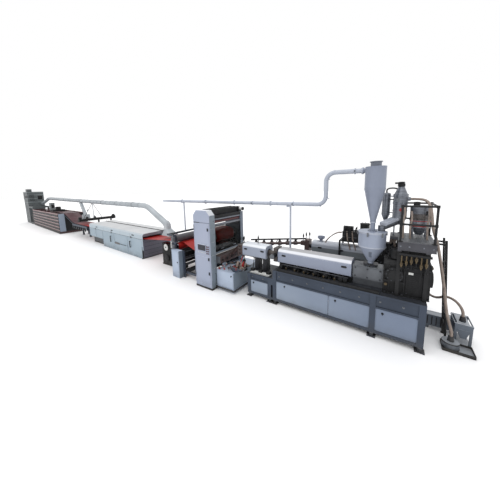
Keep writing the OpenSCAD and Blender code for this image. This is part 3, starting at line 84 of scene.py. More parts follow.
# Camera at the photograph's viewing angle
def make_camera():
    yaw, pitch, roll = (math.radians(angle) for angle in CAMERA_TURN)
    ahead = Vector((-math.sin(yaw) * math.cos(pitch), math.cos(yaw) * math.cos(pitch), -math.sin(pitch)))
    level = Vector((math.cos(yaw), math.sin(yaw), 0.0))
    above = level.cross(ahead)
    right = math.cos(roll) * level + math.sin(roll) * above
    up = math.cos(roll) * above - math.sin(roll) * level
    data = bpy.data.cameras.new("photo_camera")
    data.sensor_width = SENSOR
    data.lens = CAMERA_LENS
    data.shift_x, data.shift_y = CAMERA_SHIFT
    data.clip_end = 400.0
    camera = bpy.data.objects.new("photo_camera", data)
    bpy.context.scene.collection.objects.link(camera)
    turn = Matrix((right, up, -ahead)).transposed().to_4x4()
    camera.matrix_world = Matrix.Translation(CAMERA_SPOT) @ turn
    bpy.context.scene.camera = camera


# Materials
def linear(code):
    values = [int(code[i:i + 2], 16) / 255 for i in (0, 2, 4)]
    return [v / 12.92 if v <= 0.04045 else ((v + 0.055) / 1.055) ** 2.4 for v in values] + [1.0]


# The edge way points up and to the front: faces turned that way take a painted highlight.
WAYS = {"X": ALONG, "-Y": FRONT, "Z": UP, "edge": (0, -0.707, 0.707)}
# Tone for the darker patches towards the bottom.
BOTTOM_TONE = "4a4743"


class Nodes:
    """A material's node tree with short ways to add and join nodes."""

    def __init__(self, name):
        self.material = bpy.data.materials.new(name)
        self.material.use_nodes = True
        self.tree = self.material.node_tree
        self.shader = self.tree.nodes["Principled BSDF"]
        self.place = self.add("ShaderNodeTexCoord").outputs["Object"]

    def add(self, kind, **values):
        node = self.tree.nodes.new(kind)
        for key, value in values.items():
            if hasattr(node, key):
                setattr(node, key, value)
            else:
                node.inputs[key.replace("_", " ")].default_value = value
        return node

    def join(self, out, into):
        self.tree.links.new(out, into)

    def noise(self, scale, detail=4.0, stretch=(1, 1, 1)):
        move = self.add("ShaderNodeMapping")
        move.inputs["Scale"].default_value = stretch
        self.join(self.place, move.inputs["Vector"])
        node = self.add("ShaderNodeTexNoise", Scale=scale, Detail=detail, Roughness=0.55)
        self.join(move.outputs["Vector"], node.inputs["Vector"])
        return node.outputs["Fac"]

    def cells(self, scale):
        node = self.add("ShaderNodeTexVoronoi", Scale=scale)
        self.join(self.place, node.inputs["Vector"])
        split = self.add("ShaderNodeSeparateColor")
        self.join(node.outputs["Color"], split.inputs["Color"])
        return split.outputs["Red"]

    def spread(self, value, low, high, start=0.3, end=0.7):
        node = self.add("ShaderNodeMapRange")
        for key, number in zip(("From Min", "From Max", "To Min", "To Max"), (start, end, low, high)):
            node.inputs[key].default_value = number
        self.join(value, node.inputs["Value"])
        return node.outputs["Result"]

    def mix(self, share, first, second):
        node = self.add("ShaderNodeMix", data_type="RGBA")
        self.join(share, node.inputs["Factor"])
        for socket, value in ((node.inputs[6], first), (node.inputs[7], second)):
            if isinstance(value, list):
                socket.default_value = value
            else:
                self.join(value, socket)
        return node.outputs[2]

    def reckon(self, operation, first, second):
        node = self.add("ShaderNodeMath", operation=operation)
        for socket, value in zip(node.inputs, (first, second)):
            if isinstance(value, float):
                socket.default_value = value
            else:
                self.join(value, socket)
        return node.outputs[0]

    def facing(self, axis, low=0.5, high=0.8):
        geometry = self.add("ShaderNodeNewGeometry")
        dot = self.add("ShaderNodeVectorMath", operation="DOT_PRODUCT")
        dot.inputs[1].default_value = WAYS[axis]
        self.join(geometry.outputs["Normal"], dot.inputs[0])
        return self.spread(dot.outputs["Value"], 0.0, 1.0, low, high)

    def reach(self, axis, low, high):
        """From 0 at the low place to 1 at the high one, along X or Z."""
        split = self.add("ShaderNodeSeparateXYZ")
        self.join(self.place, split.inputs["Vector"])
        return self.spread(split.outputs[axis], 0.0, 1.0, low, high)

    def below(self, low, high):
        return self.reckon("SUBTRACT", 1.0, self.reach("Z", low, high))

    def bump(self, value, strength, distance):
        node = self.add("ShaderNodeBump", Strength=strength, Distance=distance)
        self.join(value, node.inputs["Height"])
        self.join(node.outputs["Normal"], self.shader.inputs["Normal"])


def paint(name, slot, colour, worn, rough, metal=0.0, size=1.6, stretch=(1, 1, 1), grain=160.0,
          grain_strength=0.12, spangle=0.0, dust=None, faces=(), darken_bottom=True,
          far=None, low=None, shine=0.5):
    """Paint or metal with cloudy tone, fine grain, dust on top faces and darker patches towards the bottom;
    faces paints light and shade by face direction, with a painted highlight on edges facing up and to the
    front, and far and low lay a second tone along X or below a height.
    """
    n = Nodes(name)
    cloud = n.spread(n.noise(size, 6.0, stretch), 0.0, 1.0)
    tone = n.mix(cloud, linear(colour), linear(worn))
    if spangle:
        tone = n.mix(n.spread(n.cells(spangle), 0.0, 0.35, 0.0, 1.0), tone, linear(worn))
    # Painted light and shade: faces turned each listed way take their own colour, optionally only below a
    # height.
    for axis, face_light_shade_colour, *top in faces:
        side = n.facing(axis, 0.82, 0.95) if axis == "edge" else n.facing(axis)
        if top:
            side = n.reckon("MULTIPLY", side, n.below(top[0] - 0.01, top[0]))
        tone = n.mix(side, tone, linear(face_light_shade_colour))
    # A second tone along X, used as painted shade on the bed panels and the red sheet.
    if far:
        tone = n.mix(n.reach("X", far[2], far[3]), n.mix(cloud, linear(far[0]), linear(far[1])), tone)
    if dust:
        share = n.reckon("MULTIPLY", n.facing("Z", 0.6, 0.95),
                         n.spread(n.noise(9.0, 5.0), 0.0, 0.75, 0.35, 0.75))
        tone = n.mix(share, tone, linear(dust))
    # A second tone below a height; under the loader platform it is painted shade.
    if low:
        tone = n.mix(n.reach("Z", low[2] - 0.01, low[2]), n.mix(cloud, linear(low[0]), linear(low[1])), tone)
    # Darker patches towards the bottom.
    if darken_bottom:
        share = n.reckon("MULTIPLY", n.below(0.02, 0.32), n.spread(n.noise(5.0, 5.0), 0.0, 0.6))
        tone = n.mix(share, tone, linear(BOTTOM_TONE))
    n.join(tone, n.shader.inputs["Base Color"])
    n.join(n.spread(n.noise(size * 3.0, 4.0, stretch), rough[0], rough[1]), n.shader.inputs["Roughness"])
    n.shader.inputs["Metallic"].default_value = metal
    n.shader.inputs["Specular IOR Level"].default_value = shine
    n.bump(n.noise(grain, 2.0, stretch), grain_strength, 0.002)
    return n.material, slot


def glass(name, slot, colour, smeared, see_through, shine):
    """Smoked sheet: see-through with faint smears."""
    n = Nodes(name)
    smear = n.noise(2.5, 6.0, (1, 1, 0.3))
    n.join(n.mix(n.spread(smear, 0.0, 1.0), linear(colour), linear(smeared)), n.shader.inputs["Base Color"])
    n.join(n.spread(smear, 0.04, 0.2), n.shader.inputs["Roughness"])
    n.shader.inputs["Alpha"].default_value = 1.0 - see_through
    n.shader.inputs["Specular IOR Level"].default_value = shine
    n.bump(n.noise(30.0, 2.0), 0.02, 0.001)
    return n.material, slot


# Painted shade: the slate frames' tops and ends are painted darker than their fronts.
SLATE = paint("slate_paint", "slate_frame", "3a4351", "303845", (0.35, 0.55), shine=0.3,
              faces=(("Z", "26282d"), ("X", "2f343d")), dust="3a3d42")
FAR_FRAME = paint("calender_frame_paint", "slate_frame", "67717f", "596370", (0.35, 0.55), dust="7a828c")
# Painted shade: the bed panels darken along X from 12.6 m to 15.6 m, towards the drive end.
PANEL = paint("pale_panel_paint", "pale_panel", "6e7a8e", "687488", (0.38, 0.52), size=0.9,
              far=("8a95a4", "828e9f", 12.6, 15.6))
# Painted shade: ends facing along the line painted darker.
PALE = paint("light_panel_paint", "pale_panel", "aab6c8", "9ba8bb", (0.38, 0.52), size=0.9,
             faces=(("X", "76828f"),))
# Painted light: the guard's top gets its own lit tone, and edges facing up and to the front a painted
# highlight.
GUARD = paint("white_guard_paint", "white_guard", "8a91a3", "828a9c", (0.3, 0.45), size=0.8,
              faces=(("Z", "929296"), ("edge", "d2d4da")))
# Painted light: the pump guard's top painted lighter, with a painted highlight on edges facing up and to the
# front.
PUMP_GUARD = paint("pump_guard_paint", "white_guard", "9299a8", "8890a0", (0.3, 0.45), size=0.8,
                   faces=(("Z", "c2c6cd"), ("edge", "d8dbe0")))
# Painted shade: the rear guard's front below 1.25 m and its ends painted dark.
REAR_GUARD = paint("rear_guard_paint", "white_guard", "a9adb6", "9ca1ab", (0.3, 0.45), size=0.8,
                   faces=(("-Y", "6c7175", 1.25), ("X", "575b5f")))
# Painted light and shade: the cabinet's top painted near white, its ends painted darker.
CABINET = paint("cabinet_paint", "white_guard", "9ba1b4", "929bae", (0.35, 0.5), size=0.8,
                faces=(("X", "747e87"), ("Z", "e4e6ea")))
STEEL = paint("grey_steel", "grey_steel", "6b6f74", "5a5d62", (0.35, 0.6), metal=0.45, size=3.0,
              dust="75777a")
# Painted shade: everything in this paint below 1.79 m, under the loader platform, is near black.
PLATFORM = paint("platform_paint", "grey_steel", "4b4b51", "3b3c41", (0.4, 0.6), size=3.0, dust="5c5d61",
                 low=("121314", "1c1c1e", 1.79), shine=0.3)
# Painted shade: grey steel painted near black for the bolts and cooling lines that sit in shade.
SHADED_STEEL = paint("shaded_steel", "grey_steel", "2a2b2f", "383a3f", (0.4, 0.6), metal=0.3, size=6.0, dust="3c3d40")
SIGHT = paint("hopper_glass", "smoked_window", "767e8c", "676f7d", (0.2, 0.3), size=9.0, grain_strength=0.02)
# Painted light: the bin's top faces painted lighter.
BIN = paint("bin_paint", "grey_steel", "5c6570", "525a65", (0.4, 0.6), size=3.0, faces=(("Z", "8f949b"),))
BLACK = paint("black_machine_paint", "black_machine", "161718", "202022", (0.4, 0.65), size=4.0,
              grain=90.0, grain_strength=0.2, dust="2c2c2e", shine=0.25)
GALVANISED = paint("galvanised_sheet", "galvanised_sheet", "868d9d", "7b8292", (0.35, 0.5), metal=0.3,
                   size=2.0, spangle=40.0)
HOPPER = paint("hopper_sheet", "galvanised_sheet", "929aab", "8890a1", (0.35, 0.5), metal=0.2, size=2.0,
               spangle=40.0)
PIPE = paint("pipe_sheet", "galvanised_sheet", "aab0bc", "9ca2ae", (0.35, 0.5), metal=0.2, size=2.0,
             spangle=40.0)
CAP = paint("cap_paint", "slate_frame", "70757f", "60656f", (0.4, 0.6), size=3.0)
DUCT = paint("duct_sheet", "galvanised_sheet", "a7adb2", "92989d", (0.3, 0.5), metal=0.3, size=2.0,
             spangle=30.0)
FLEX = paint("bellows_sheet", "galvanised_sheet", "bcc0c4", "989ea3", (0.4, 0.6), size=4.0)
STAINLESS = paint("stainless_brushed", "stainless", "7d8189", "62656c", (0.24, 0.45), metal=0.7, size=3.0,
                  stretch=(1, 1, 14), grain=120.0)
COPPER = paint("heater_band_copper", "copper_heaters", "5d4a48", "443938", (0.35, 0.6), metal=0.4, size=9.0,
               dust="6f625d")
PUMP = paint("pump_steel", "copper_heaters", "5a5350", "433f3e", (0.4, 0.6), metal=0.4, size=7.0,
             dust="77706b", low=("2b2c30", "3a3b40", 1.05))
CHROME = paint("chrome_roll", "chrome_roll", "a4a6aa", "85878b", (0.08, 0.2), metal=1.0, size=2.0,
               stretch=(1, 8, 1))
RUBBER = paint("black_rubber", "black_rubber", "1b1b1d", "26262a", (0.5, 0.75), size=5.0, dust="38383b")
# Painted shade: the sheet turns dark maroon along X past the oven.
RED = paint("red_sheet", "red_sheet", "a3241f", "8c1a17", (0.35, 0.5), size=1.2, darken_bottom=False, shine=0.2,
            far=("4a262d", "391c23", -2.7, 0.2))
SHELF = paint("brown_shelf", "brown_shelf", "54383b", "3c2a2d", (0.4, 0.6), size=2.0, stretch=(0.4, 1, 30),
              dust="6a5654", shine=0.25)
# Painted highlight: pale strips along the shelf edges.
SHELF_GLINT = paint("shelf_glint_paint", "brown_shelf", "bda5a4", "927877", (0.3, 0.5), size=3.0, stretch=(3, 1, 1),
             darken_bottom=False)
MAROON = paint("maroon_bar", "red_sheet", "5c2b2c", "462122", (0.3, 0.45), size=8.0)
HOSE = paint("beige_hose", "beige_hose", "8e8077", "746961", (0.4, 0.6), size=14.0, darken_bottom=False)
WINDOW = glass("smoked_window", "smoked_window", "0b0c0b", "191a18", 0.55, 0.05)
LENS = glass("sight_glass", "smoked_window", "5c5755", "4c4846", 0.2, 0.3)
SCREEN = paint("screen_glass", "smoked_window", "22232b", "31323c", (0.2, 0.3), size=20.0, shine=0.3,
               grain_strength=0.02)
BRASS = paint("brass_fitting", "copper_heaters", "66573f", "4c4231", (0.35, 0.55), metal=0.5, size=12.0)
PLATE = paint("blank_plate", "white_guard", "d0d1cf", "bcbdba", (0.4, 0.6), size=10.0)
RED_PART = paint("red_handle", "red_sheet", "a02a27", "7f201e", (0.3, 0.45), size=8.0)
ROLL_BLACK = paint("haul_roll_rubber", "black_rubber", "3c3b40", "47464b", (0.4, 0.6), size=3.0,
                   dust="55555a")
# Painted shade: the oven body's end painted darker.
OVEN_FRONT = paint("oven_paint", "pale_panel", "93a3af", "8798a4", (0.38, 0.52), size=0.9,
                   faces=(("X", "51515e"),))
# Painted shade: the lid's front facet and end painted darker.
OVEN_LID = paint("oven_lid_paint", "white_guard", "bcbdbf", "adafb2", (0.35, 0.5), size=0.7,
                 faces=(("-Y", "a2afb8"), ("X", "6c6c75")))
# Painted shade: the plenum's front and end painted dark.
PLENUM = paint("plenum_paint", "white_guard", "c3c4c5", "b4b6b8", (0.35, 0.5), size=0.7,
               faces=(("-Y", "5f6166"), ("X", "4b4b54")))
TOWER = paint("tower_paint", "pale_panel", "53585a", "464c4e", (0.45, 0.65), size=1.5, dust="6d7274")
TOWER_BAND = paint("tower_band_paint", "pale_panel", "7d8486", "6c7375", (0.45, 0.65), size=1.5)

NODE_PAINT = {
    "extruder_bed": SLATE, "bed_panels": PANEL, "barrel": STEEL, "barrel_supports": BLACK,
    "barrel_guard": GUARD,
    "feed_block": STEEL, "gearbox": BLACK, "drive_motor": BLACK, "hopper": HOPPER, "hopper_lid": HOPPER,
    "cyclone": GALVANISED, "cyclone_cap": CAP, "conveying_pipe": PIPE, "pipe_posts": PIPE,
    "loader_platform": PLATFORM, "platform_railing": BLACK, "drying_loader": STAINLESS,
    "vacuum_loader": STAINLESS,
    "suction_bin": BIN, "rear_bed": SLATE, "rear_guard": REAR_GUARD, "rear_drive": BLACK,
    "dosing_unit": BLACK,
    "melt_pipe": COPPER, "die_stand": SLATE, "melt_pump": PUMP, "pump_guard": PUMP_GUARD, "sheet_die": COPPER,
    "die_trolley": PALE, "scrap_tray": SLATE, "calender_cabinet": CABINET, "calender_frame": FAR_FRAME,
    "calender_top_beam": BLACK, "calender_roll_bottom": CHROME, "calender_roll_middle": CHROME,
    "calender_roll_top": CHROME, "calender_window": WINDOW, "haul_off_frame": SLATE,
    "haul_off_cabinets": PALE,
    "haul_off_top_roll": ROLL_BLACK, "haul_off_bottom_roll": CHROME, "haul_off_drive": BLACK,
    "oven_body": OVEN_FRONT, "oven_lid": OVEN_LID, "oven_plenum": PLENUM, "duct_hood": DUCT,
    "extraction_duct": DUCT, "cutter_frame": SLATE, "cutter_beam": BLACK, "stacker_frame": SHELF,
    "stacker_shelves": SHELF, "end_tower": TOWER, "plastic_sheet": RED,
}


def dress_nodes():
    for name, (material, slot) in NODE_PAINT.items():
        mesh = nodes[name].data
        mesh.materials.clear()
        mesh.materials.append(material)


# Shapes
def turn_to(direction):
    return Vector(UP).rotation_difference(direction).to_matrix().to_4x4()


def circle(count, start=0.0):
    """Cosine and sine of even steps round a circle."""
    angles = (start + 2 * math.pi * k / count for k in range(count))
    return [(math.cos(a), math.sin(a)) for a in angles]


class Piece:
    """Collects shapes, given in millimetres along the line, into one mesh."""

    def __init__(self):
        self.mesh = bmesh.new()

    def box(self, x, y, z):
        low, high = at(x[0], y[0], z[0]), at(x[1], y[1], z[1])
        size = Matrix.Diagonal((high - low).to_4d())
        size[3][3] = 1.0
        bmesh.ops.create_cube(self.mesh, size=1.0, matrix=Matrix.Translation((low + high) / 2) @ size)

    def stand(self, x, y, deep, z):
        """Box standing off a face at y."""
        self.box(x, sorted((y, y + deep)), z)

    def square(self, x, y, half, z):
        """Upright box about a spot."""
        self.box((x - half, x + half), (y - half, y + half), z)

    def stack(self, count, step, x, y, z):
        """Boxes one above another."""
        for k in range(count):
            self.box(x, y, (z[0] + step * k, z[1] + step * k))

    def border(self, x, y, half, z):
        """Four bars round a rectangle."""
        for side in y:
            self.box((x[0] - half, x[1] + half), (side - half, side + half), z)
        for side in x:
            self.box((side - half, side + half), y, z)

    def rod(self, a, b, d, sides=20, end_d=None):
        first, last = at(*a), at(*b)
        along = last - first
        place = Matrix.Translation((first + last) / 2) @ turn_to(along.normalized())
        bmesh.ops.create_cone(self.mesh, cap_ends=True, segments=sides, radius1=d * MM / 2,
                              radius2=(d if end_d is None else end_d) * MM / 2,
                              depth=along.length, matrix=place)

    def disc(self, centre, axis, d, thick, sides=24):
        step = Vector(axis).normalized() * thick / 2
        c = Vector(centre)
        self.rod(c - step, c + step, d, sides)

    def ring(self, centre, axis, d, thick, sides=40, rounds=8):
        middle, turn = at(*centre), turn_to(Vector(axis).normalized()).to_3x3()
        rings = []
        for c, s in circle(sides):
            loop = []
            for wide, rise in circle(rounds):
                spot = Vector((c, s, 0)) * (d / 2 + thick / 2 * wide) * MM
                spot.z = thick / 2 * rise * MM
                loop.append(self.mesh.verts.new(middle + turn @ spot))
            rings.append(loop)
        self.wrap(rings)

    def wrap(self, rings):
        """Faces through rings of corners, from the last back to the first."""
        for a, b in zip(rings, rings[1:] + rings[:1]):
            for k in range(len(a)):
                n = (k + 1) % len(a)
                self.mesh.faces.new((a[k], b[k], b[n], a[n]))

    def band(self, centre, axis, d, wide, proud):
        """Hoop of flat strip round a drum."""
        inner, outer, half = d / 2 - 2, d / 2 + proud, wide / 2
        self.turned(centre, axis, [(inner, -half), (outer, -half), (outer, half), (inner, half)])

    def turned(self, centre, axis, outline, sides=40):
        """Closed outline of (radius, height) pairs turned about an axis."""
        middle, turn = at(*centre), turn_to(Vector(axis).normalized()).to_3x3()
        rings = []
        for c, s in circle(sides):
            spots = [Vector((r * c, r * s, h)) * MM for r, h in outline]
            rings.append([self.mesh.verts.new(middle + turn @ spot) for spot in spots])
        self.wrap(rings)

    def sweep(self, points, d, sides=10, wave=0.0):
        """Tube along points that are already close together, with ribs where wave is not 0."""
        spots = [at(*p) for p in points]
        rings = []
        side = None
        for i, spot in enumerate(spots):
            ahead = (spots[min(i + 1, len(spots) - 1)] - spots[max(i - 1, 0)]).normalized()
            if side is None:
                side = ahead.orthogonal().normalized()
            side = (side - ahead * side.dot(ahead)).normalized()
            other = ahead.cross(side)
            r = (d / 2 - (wave if i % 2 else 0.0)) * MM
            rings.append([self.mesh.verts.new(spot + r * (c * side + s * other)) for c, s in circle(sides)])
        for a, b in zip(rings, rings[1:]):
            for k in range(sides):
                n = (k + 1) % sides
                self.mesh.faces.new((a[k], a[n], b[n], b[k]))
        self.mesh.faces.new(rings[0][::-1])
        self.mesh.faces.new(rings[-1])

    def tube(self, points, steps, d, sides):
        """Smooth tube through a few points."""
        self.sweep(spline(points, steps), d, sides)

    def shell(self, first, last):
        """Closed solid between two rings of corners."""
        self.mesh.faces.new(first[::-1])
        self.mesh.faces.new(last)
        for i in range(len(first)):
            n = (i + 1) % len(first)
            self.mesh.faces.new((first[i], first[n], last[n], last[i]))

    def prism(self, outline, axis, span):
        """Flat outline drawn out along an axis: x from (y, z), y from (x, z), z from (x, y)."""
        def spot(u, v, w):
            return {"x": at(w, u, v), "y": at(u, w, v), "z": at(u, v, w)}[axis]
        first = [self.mesh.verts.new(spot(u, v, span[0])) for u, v in outline]
        last = [self.mesh.verts.new(spot(u, v, span[1])) for u, v in outline]
        self.shell(first, last)

    def slab(self, corners, thick):
        """Sheet of a thickness over four corners."""
        up = Vector((0, 0, thick))
        low = [self.mesh.verts.new(at(*c)) for c in corners]
        top = [self.mesh.verts.new(at(*(c + up))) for c in corners]
        self.shell(low, top)

    def oval(self, centre, wide, high, axis, deep):
        """Rounded bar shape standing off a face, its flat sides square to axis x or y."""
        x, y, z = centre
        r = high / 2
        flat = wide / 2 - r
        outline = []
        for side in (1, -1):
            for i in range(9):
                a = math.pi * (i / 8 - side / 2)
                outline.append((side * flat + r * math.cos(a), r * math.sin(a)))
        if axis == "y":
            self.prism([(x + u, z + v) for u, v in outline], "y", sorted((y, y + deep)))
        else:
            self.prism([(y + u, z + v) for u, v in outline], "x", sorted((x, x + deep)))

    def bolts(self, spots, axis, d):
        for spot in spots:
            self.disc(Vector(spot) + Vector(axis) * d * 0.06, axis, d * 1.5, d * 0.12, 14)
            self.disc(Vector(spot) + Vector(axis) * d * 0.4, axis, d, d * 0.6, 6)

    def bolt_circle(self, centre, axis, r, count, d, start=0.0):
        across = max(range(3), key=lambda i: abs(axis[i]))
        for c, s in circle(count, start):
            step = [r * c, r * s]
            step.insert(across, 0)
            self.bolts([Vector(centre) + Vector(step)], axis, d)

    def done(self, name, look, bevel=0.0):
        bmesh.ops.recalc_face_normals(self.mesh, faces=self.mesh.faces[:])
        for face in self.mesh.faces:
            face.smooth = True
        for edge in self.mesh.edges:
            edge.smooth = edge.calc_face_angle(0.0) < math.radians(32)
        data = bpy.data.meshes.new(name)
        self.mesh.to_mesh(data)
        self.mesh.free()
        data.materials.append(look[0])
        piece = bpy.data.objects.new(name, data)
        bpy.context.scene.collection.objects.link(piece)
        if bevel:
            soften = piece.modifiers.new("soft_edges", "BEVEL")
            soften.width = bevel * MM
            soften.segments = 2
            soften.limit_method = "ANGLE"
        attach(piece, ROOT)
        return piece


def spline(points, steps):
    """Smooth points through a route."""
    route = [Vector(p) for p in points]
    full = [2 * route[0] - route[1]] + route + [2 * route[-1] - route[-2]]
    made = []
    for i in range(1, len(full) - 2):
        a, b, c, d = full[i - 1:i + 3]
        for k in range(steps):
            t = k / steps
            made.append(0.5 * (2 * b + (c - a) * t + (2 * a - 5 * b + 4 * c - d) * t ** 2
                               + (3 * b - a - 3 * c + d) * t ** 3))
    return made + [route[-1]]


def rounded(points, cuts):
    """Route with its inner corners cut back and rounded."""
    made = [points[0]]
    for before, corner, after, cut in zip(points, points[1:], points[2:], cuts):
        a = corner + (before - corner).normalized() * cut
        b = corner + (after - corner).normalized() * cut
        steps = [k / 10 for k in range(11)]
        made += [(1 - t) ** 2 * a + 2 * t * (1 - t) * corner + t ** 2 * b for t in steps]
    return made + [points[-1]]


# Suction hoses
LONG_ROUTE = [
    (-1040, 330, 2720), (-1005, 330, 2720), (-943, 323, 2720), (-893, 306, 2717), (-851, 279, 2712),
    (-818, 246, 2702), (-792, 210, 2685), (-772, 173, 2660), (-756, 137, 2625), (-743, 106, 2580),
    (-732, 81, 2521), (-721, 67, 2449), (-709, 64, 2360), (-696, 67, 2260), (-676, 74, 2160),
    (-648, 84, 2060), (-616, 95, 1960), (-588, 104, 1840), (-560, 109, 1700), (-526, 110, 1520),
    (-495, 106, 1340), (-466, 100, 1160), (-440, 90, 980), (-415, 76, 800), (-388, 56, 630),
    (-354, 28, 480), (-322, 7, 365), (-310, 0, 280), (-310, 0, 210),
]
SHORT_ROUTE = [
    (-870, 490, 2380), (-870, 560, 2380), (-868, 640, 2366), (-862, 715, 2328), (-852, 780, 2262),
    (-838, 828, 2170), (-820, 858, 2060), (-798, 874, 1930), (-772, 882, 1780), (-742, 884, 1610),
    (-715, 882, 1430), (-698, 881, 1240), (-690, 880, 1050), (-690, 880, 861), (-679, 869, 778),
    (-646, 839, 706), (-597, 792, 655), (-538, 736, 632), (-477, 679, 640), (-422, 626, 678),
    (-388, 594, 714), (-333, 541, 751), (-272, 484, 759), (-213, 428, 736), (-164, 381, 685),
    (-131, 351, 613), (-120, 340, 530), (-120, 340, 480),
]
HOSE_D = 50
RIB_STEP = 7


def hose(name, node, route):
    line = spline(route, 24)
    even = [line[0]]
    for p in line[1:]:
        if (p - even[-1]).length >= RIB_STEP:
            even.append(p)
    even[-1] = line[-1]
    piece = Piece()
    piece.sweep(even, HOSE_D, 14, 2.5)
    made = piece.done(name, HOSE)
    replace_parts(made, node)


make_camera()
hose("long_suction_hose", "long_hose", LONG_ROUTE)
hose("short_suction_hose", "short_hose", SHORT_ROUTE)
dress_nodes()


# Beds: panel rims, screws, locks, rail bolts and levelling nuts
def rim(piece, x, z, y, out):
    wide, proud = 14, 4
    face = sorted((y, y + out * proud))
    piece.box((x[0] + 6, x[1] - 6), face, (z[0] + 6, z[0] + 6 + wide))
    piece.box((x[0] + 6, x[1] - 6), face, (z[1] - 6 - wide, z[1] - 6))
    piece.box((x[0] + 6, x[0] + 6 + wide), face, (z[0] + 6, z[1] - 6))
    piece.box((x[1] - 6 - wide, x[1] - 6), face, (z[0] + 6, z[1] - 6))


def lock(piece, x, y, z, out):
    piece.disc((x, y + out * 4, z), (0, out, 0), 44, 8)
    piece.disc((x, y + out * 10, z), (0, out, 0), 26, 8)
    piece.stand((x - 5, x + 5), y + out * 12, out * 10, (z - 30, z + 8))


def bed_region():
    rims, locks, bolts = Piece(), Piece(), Piece()
    main = [(-3640, -2360), (-2354, -1570), (-1470, -820)]
    for y, out in ((-438, -1), (438, 1)):
        for x in main:
            rim(rims, x, (150, 620), y, out)
            lock(locks, x[0] + 0.18 * (x[1] - x[0]), y, 540, out)
        rim(rims, (-4430, -3890), (150, 490), y, out)
        lock(locks, -4340, y, 420, out)
    for y, out in ((912, -1), (1588, 1)):
        for x in ((-3240, -2220), (-2120, -1100)):
            rim(rims, x, (150, 620), y, out)
            lock(locks, x[0] + 180, y, 540, out)
    for places, near, far in ((range(-3560, -760, 360), -430, 430), (range(-3200, -1100, 420), 920, 1580)):
        bolts.bolts([(x, near, RAIL_Z) for x in places], FRONT, 26)
        bolts.bolts([(x, far, RAIL_Z) for x in places], BACK, 26)
    bolts.bolts([(x, -430, 580) for x in (-4380, -4040)], FRONT, 26)
    posts = [(x, y) for x in (-3690, -1520, -770, -4480, -3840) for y in (-400, 400)]
    posts += [(x, y) for x in (-3290, -2170, -1050) for y in (950, 1550)]
    for x, y in posts:
        bolts.disc((x, y, 70), UP, 86, 30, 6)
        bolts.disc((x, y, 24), UP, 76, 18, 6)
        for dx, dy in ((-58, -58), (58, 58), (-58, 58), (58, -58)):
            bolts.disc((x + dx, y + dy, 20), UP, 22, 10, 6)
    rims.done("panel_rims", PANEL, bevel=1.5)
    locks.done("panel_locks", BLACK)
    bolts.done("bed_bolts", STEEL)


# Guards: sunk handles, end rims and seams
def guard_region():
    grips, bars, lips = Piece(), Piece(), Piece()
    for x, z in ((-3545, 1250), (-2110, 1248), (-4760, 1252), (-4200, 1256)):
        for y, out in ((-200, -1), (200, 1)):
            grips.oval((x, y, z), 118, 46, "y", out * 5)
            bars.oval((x, y + out * 5, z + 8), 92, 14, "y", out * 9)
    for x in (-3000, -2420):
        grips.oval((x, REAR_Y - 180, 1240), 118, 46, "y", -5)
        bars.oval((x, REAR_Y - 185, 1248), 92, 14, "y", -9)
    for x0, x1, y, half in ((-3710, -1965, 0, 200), (-4870, -4085, 0, 200), (-3240, -1800, REAR_Y, 180)):
        for x in (x0, x1):
            for side in (y - half, y + half):
                lips.square(x, side, 4, (1050, 1312))
                lips.box((x0, x1), (side - 4, side + 4), (1050, 1066))
        for face in (y - half - 1, y + half + 1):
            lips.box((x0 + 8, x1 - 8), (face - 1, face + 1), (1305, 1311))
    for x in (-3130, -2545):
        for side in (-1, 1):
            lips.box((x - 2, x + 2), (side * 201 - 1, side * 201 + 1), (1066, 1305))
    grips.done("guard_grip_recesses", RUBBER)
    bars.done("guard_grip_bars", BLACK, bevel=1.0)
    lips.done("guard_rims", GUARD, bevel=1.5)


# Blowers, trunking and cooling lines under the barrel guard
def blower_region():
    black, steel, brass = Piece(), Piece(), Piece()
    for x in (-3205, -2960, -2715, -2470):
        for out in (-1, 1):
            y = out * 172
            black.turned((x, y + out * 26, 985), (0, out, 0),
                         [(20, -26), (72, -26), (76, 0), (72, 26), (20, 26)], 28)
            steel.ring((x, y + out * 53, 985), (0, out, 0), 84, 10, 28, 6)
            black.rod((x, y + out * 52, 985), (x, y + out * 122, 985), 78, 20)
            for k in range(6):
                black.ring((x, y + out * (62 + k * 10), 985), (0, out, 0), 80, 5, 24, 4)
            black.stand((x + 46, x + 104), y + out * 20, out * 72, (908, 968))
            brass.rod((x + 75, y + out * 92, 940), (x + 75, y + out * 112, 940), 22, 8)
            black.tube([(x + 75, y + out * 112, 940), (x + 78, y + out * 138, 936),
                        (x + 86, y + out * 152, 922),
                        (x + 90, y + out * 160, 908)], 6, 16, 8)
    for y in (-400, 400):
        black.box((-3640, -1430), (y - 32, y + 32), (DECK, 958))
        for x in range(-3600, -1450, 180):
            black.box((x - 3, x + 3), (y - 35, y + 35), (DECK, 962))
    for out in (-1, 1):
        for k, z in enumerate((925, 1024)):
            steel.rod((-3560, out * (330 - 100 * k), z), (-2010, out * (330 - 100 * k), z), 30, 12)
        for x in range(-3420, -2050, 230):
            brass.rod((x, out * 330, 925), (x, out * 330, 980), 26, 10)
            brass.disc((x, out * 330, 990), UP, 46, 12, 8)
            steel.rod((x, out * 330, 990), (x + 6, out * 236, 1022), 16, 8)
    for x in (-2150, -2060, -3570):
        black.box((x - 36, x + 36), (-320, -220), (DECK, 1030))
        black.box((x - 40, x + 40), (-326, -318), (915, 1020))
    black.box((-3690, -1960), (-150, 150), (DECK, 1046))
    black.done("barrel_blowers", BLACK, bevel=1.5)
    steel.done("cooling_lines", SHADED_STEEL)
    brass.done("cooling_valves", BRASS)


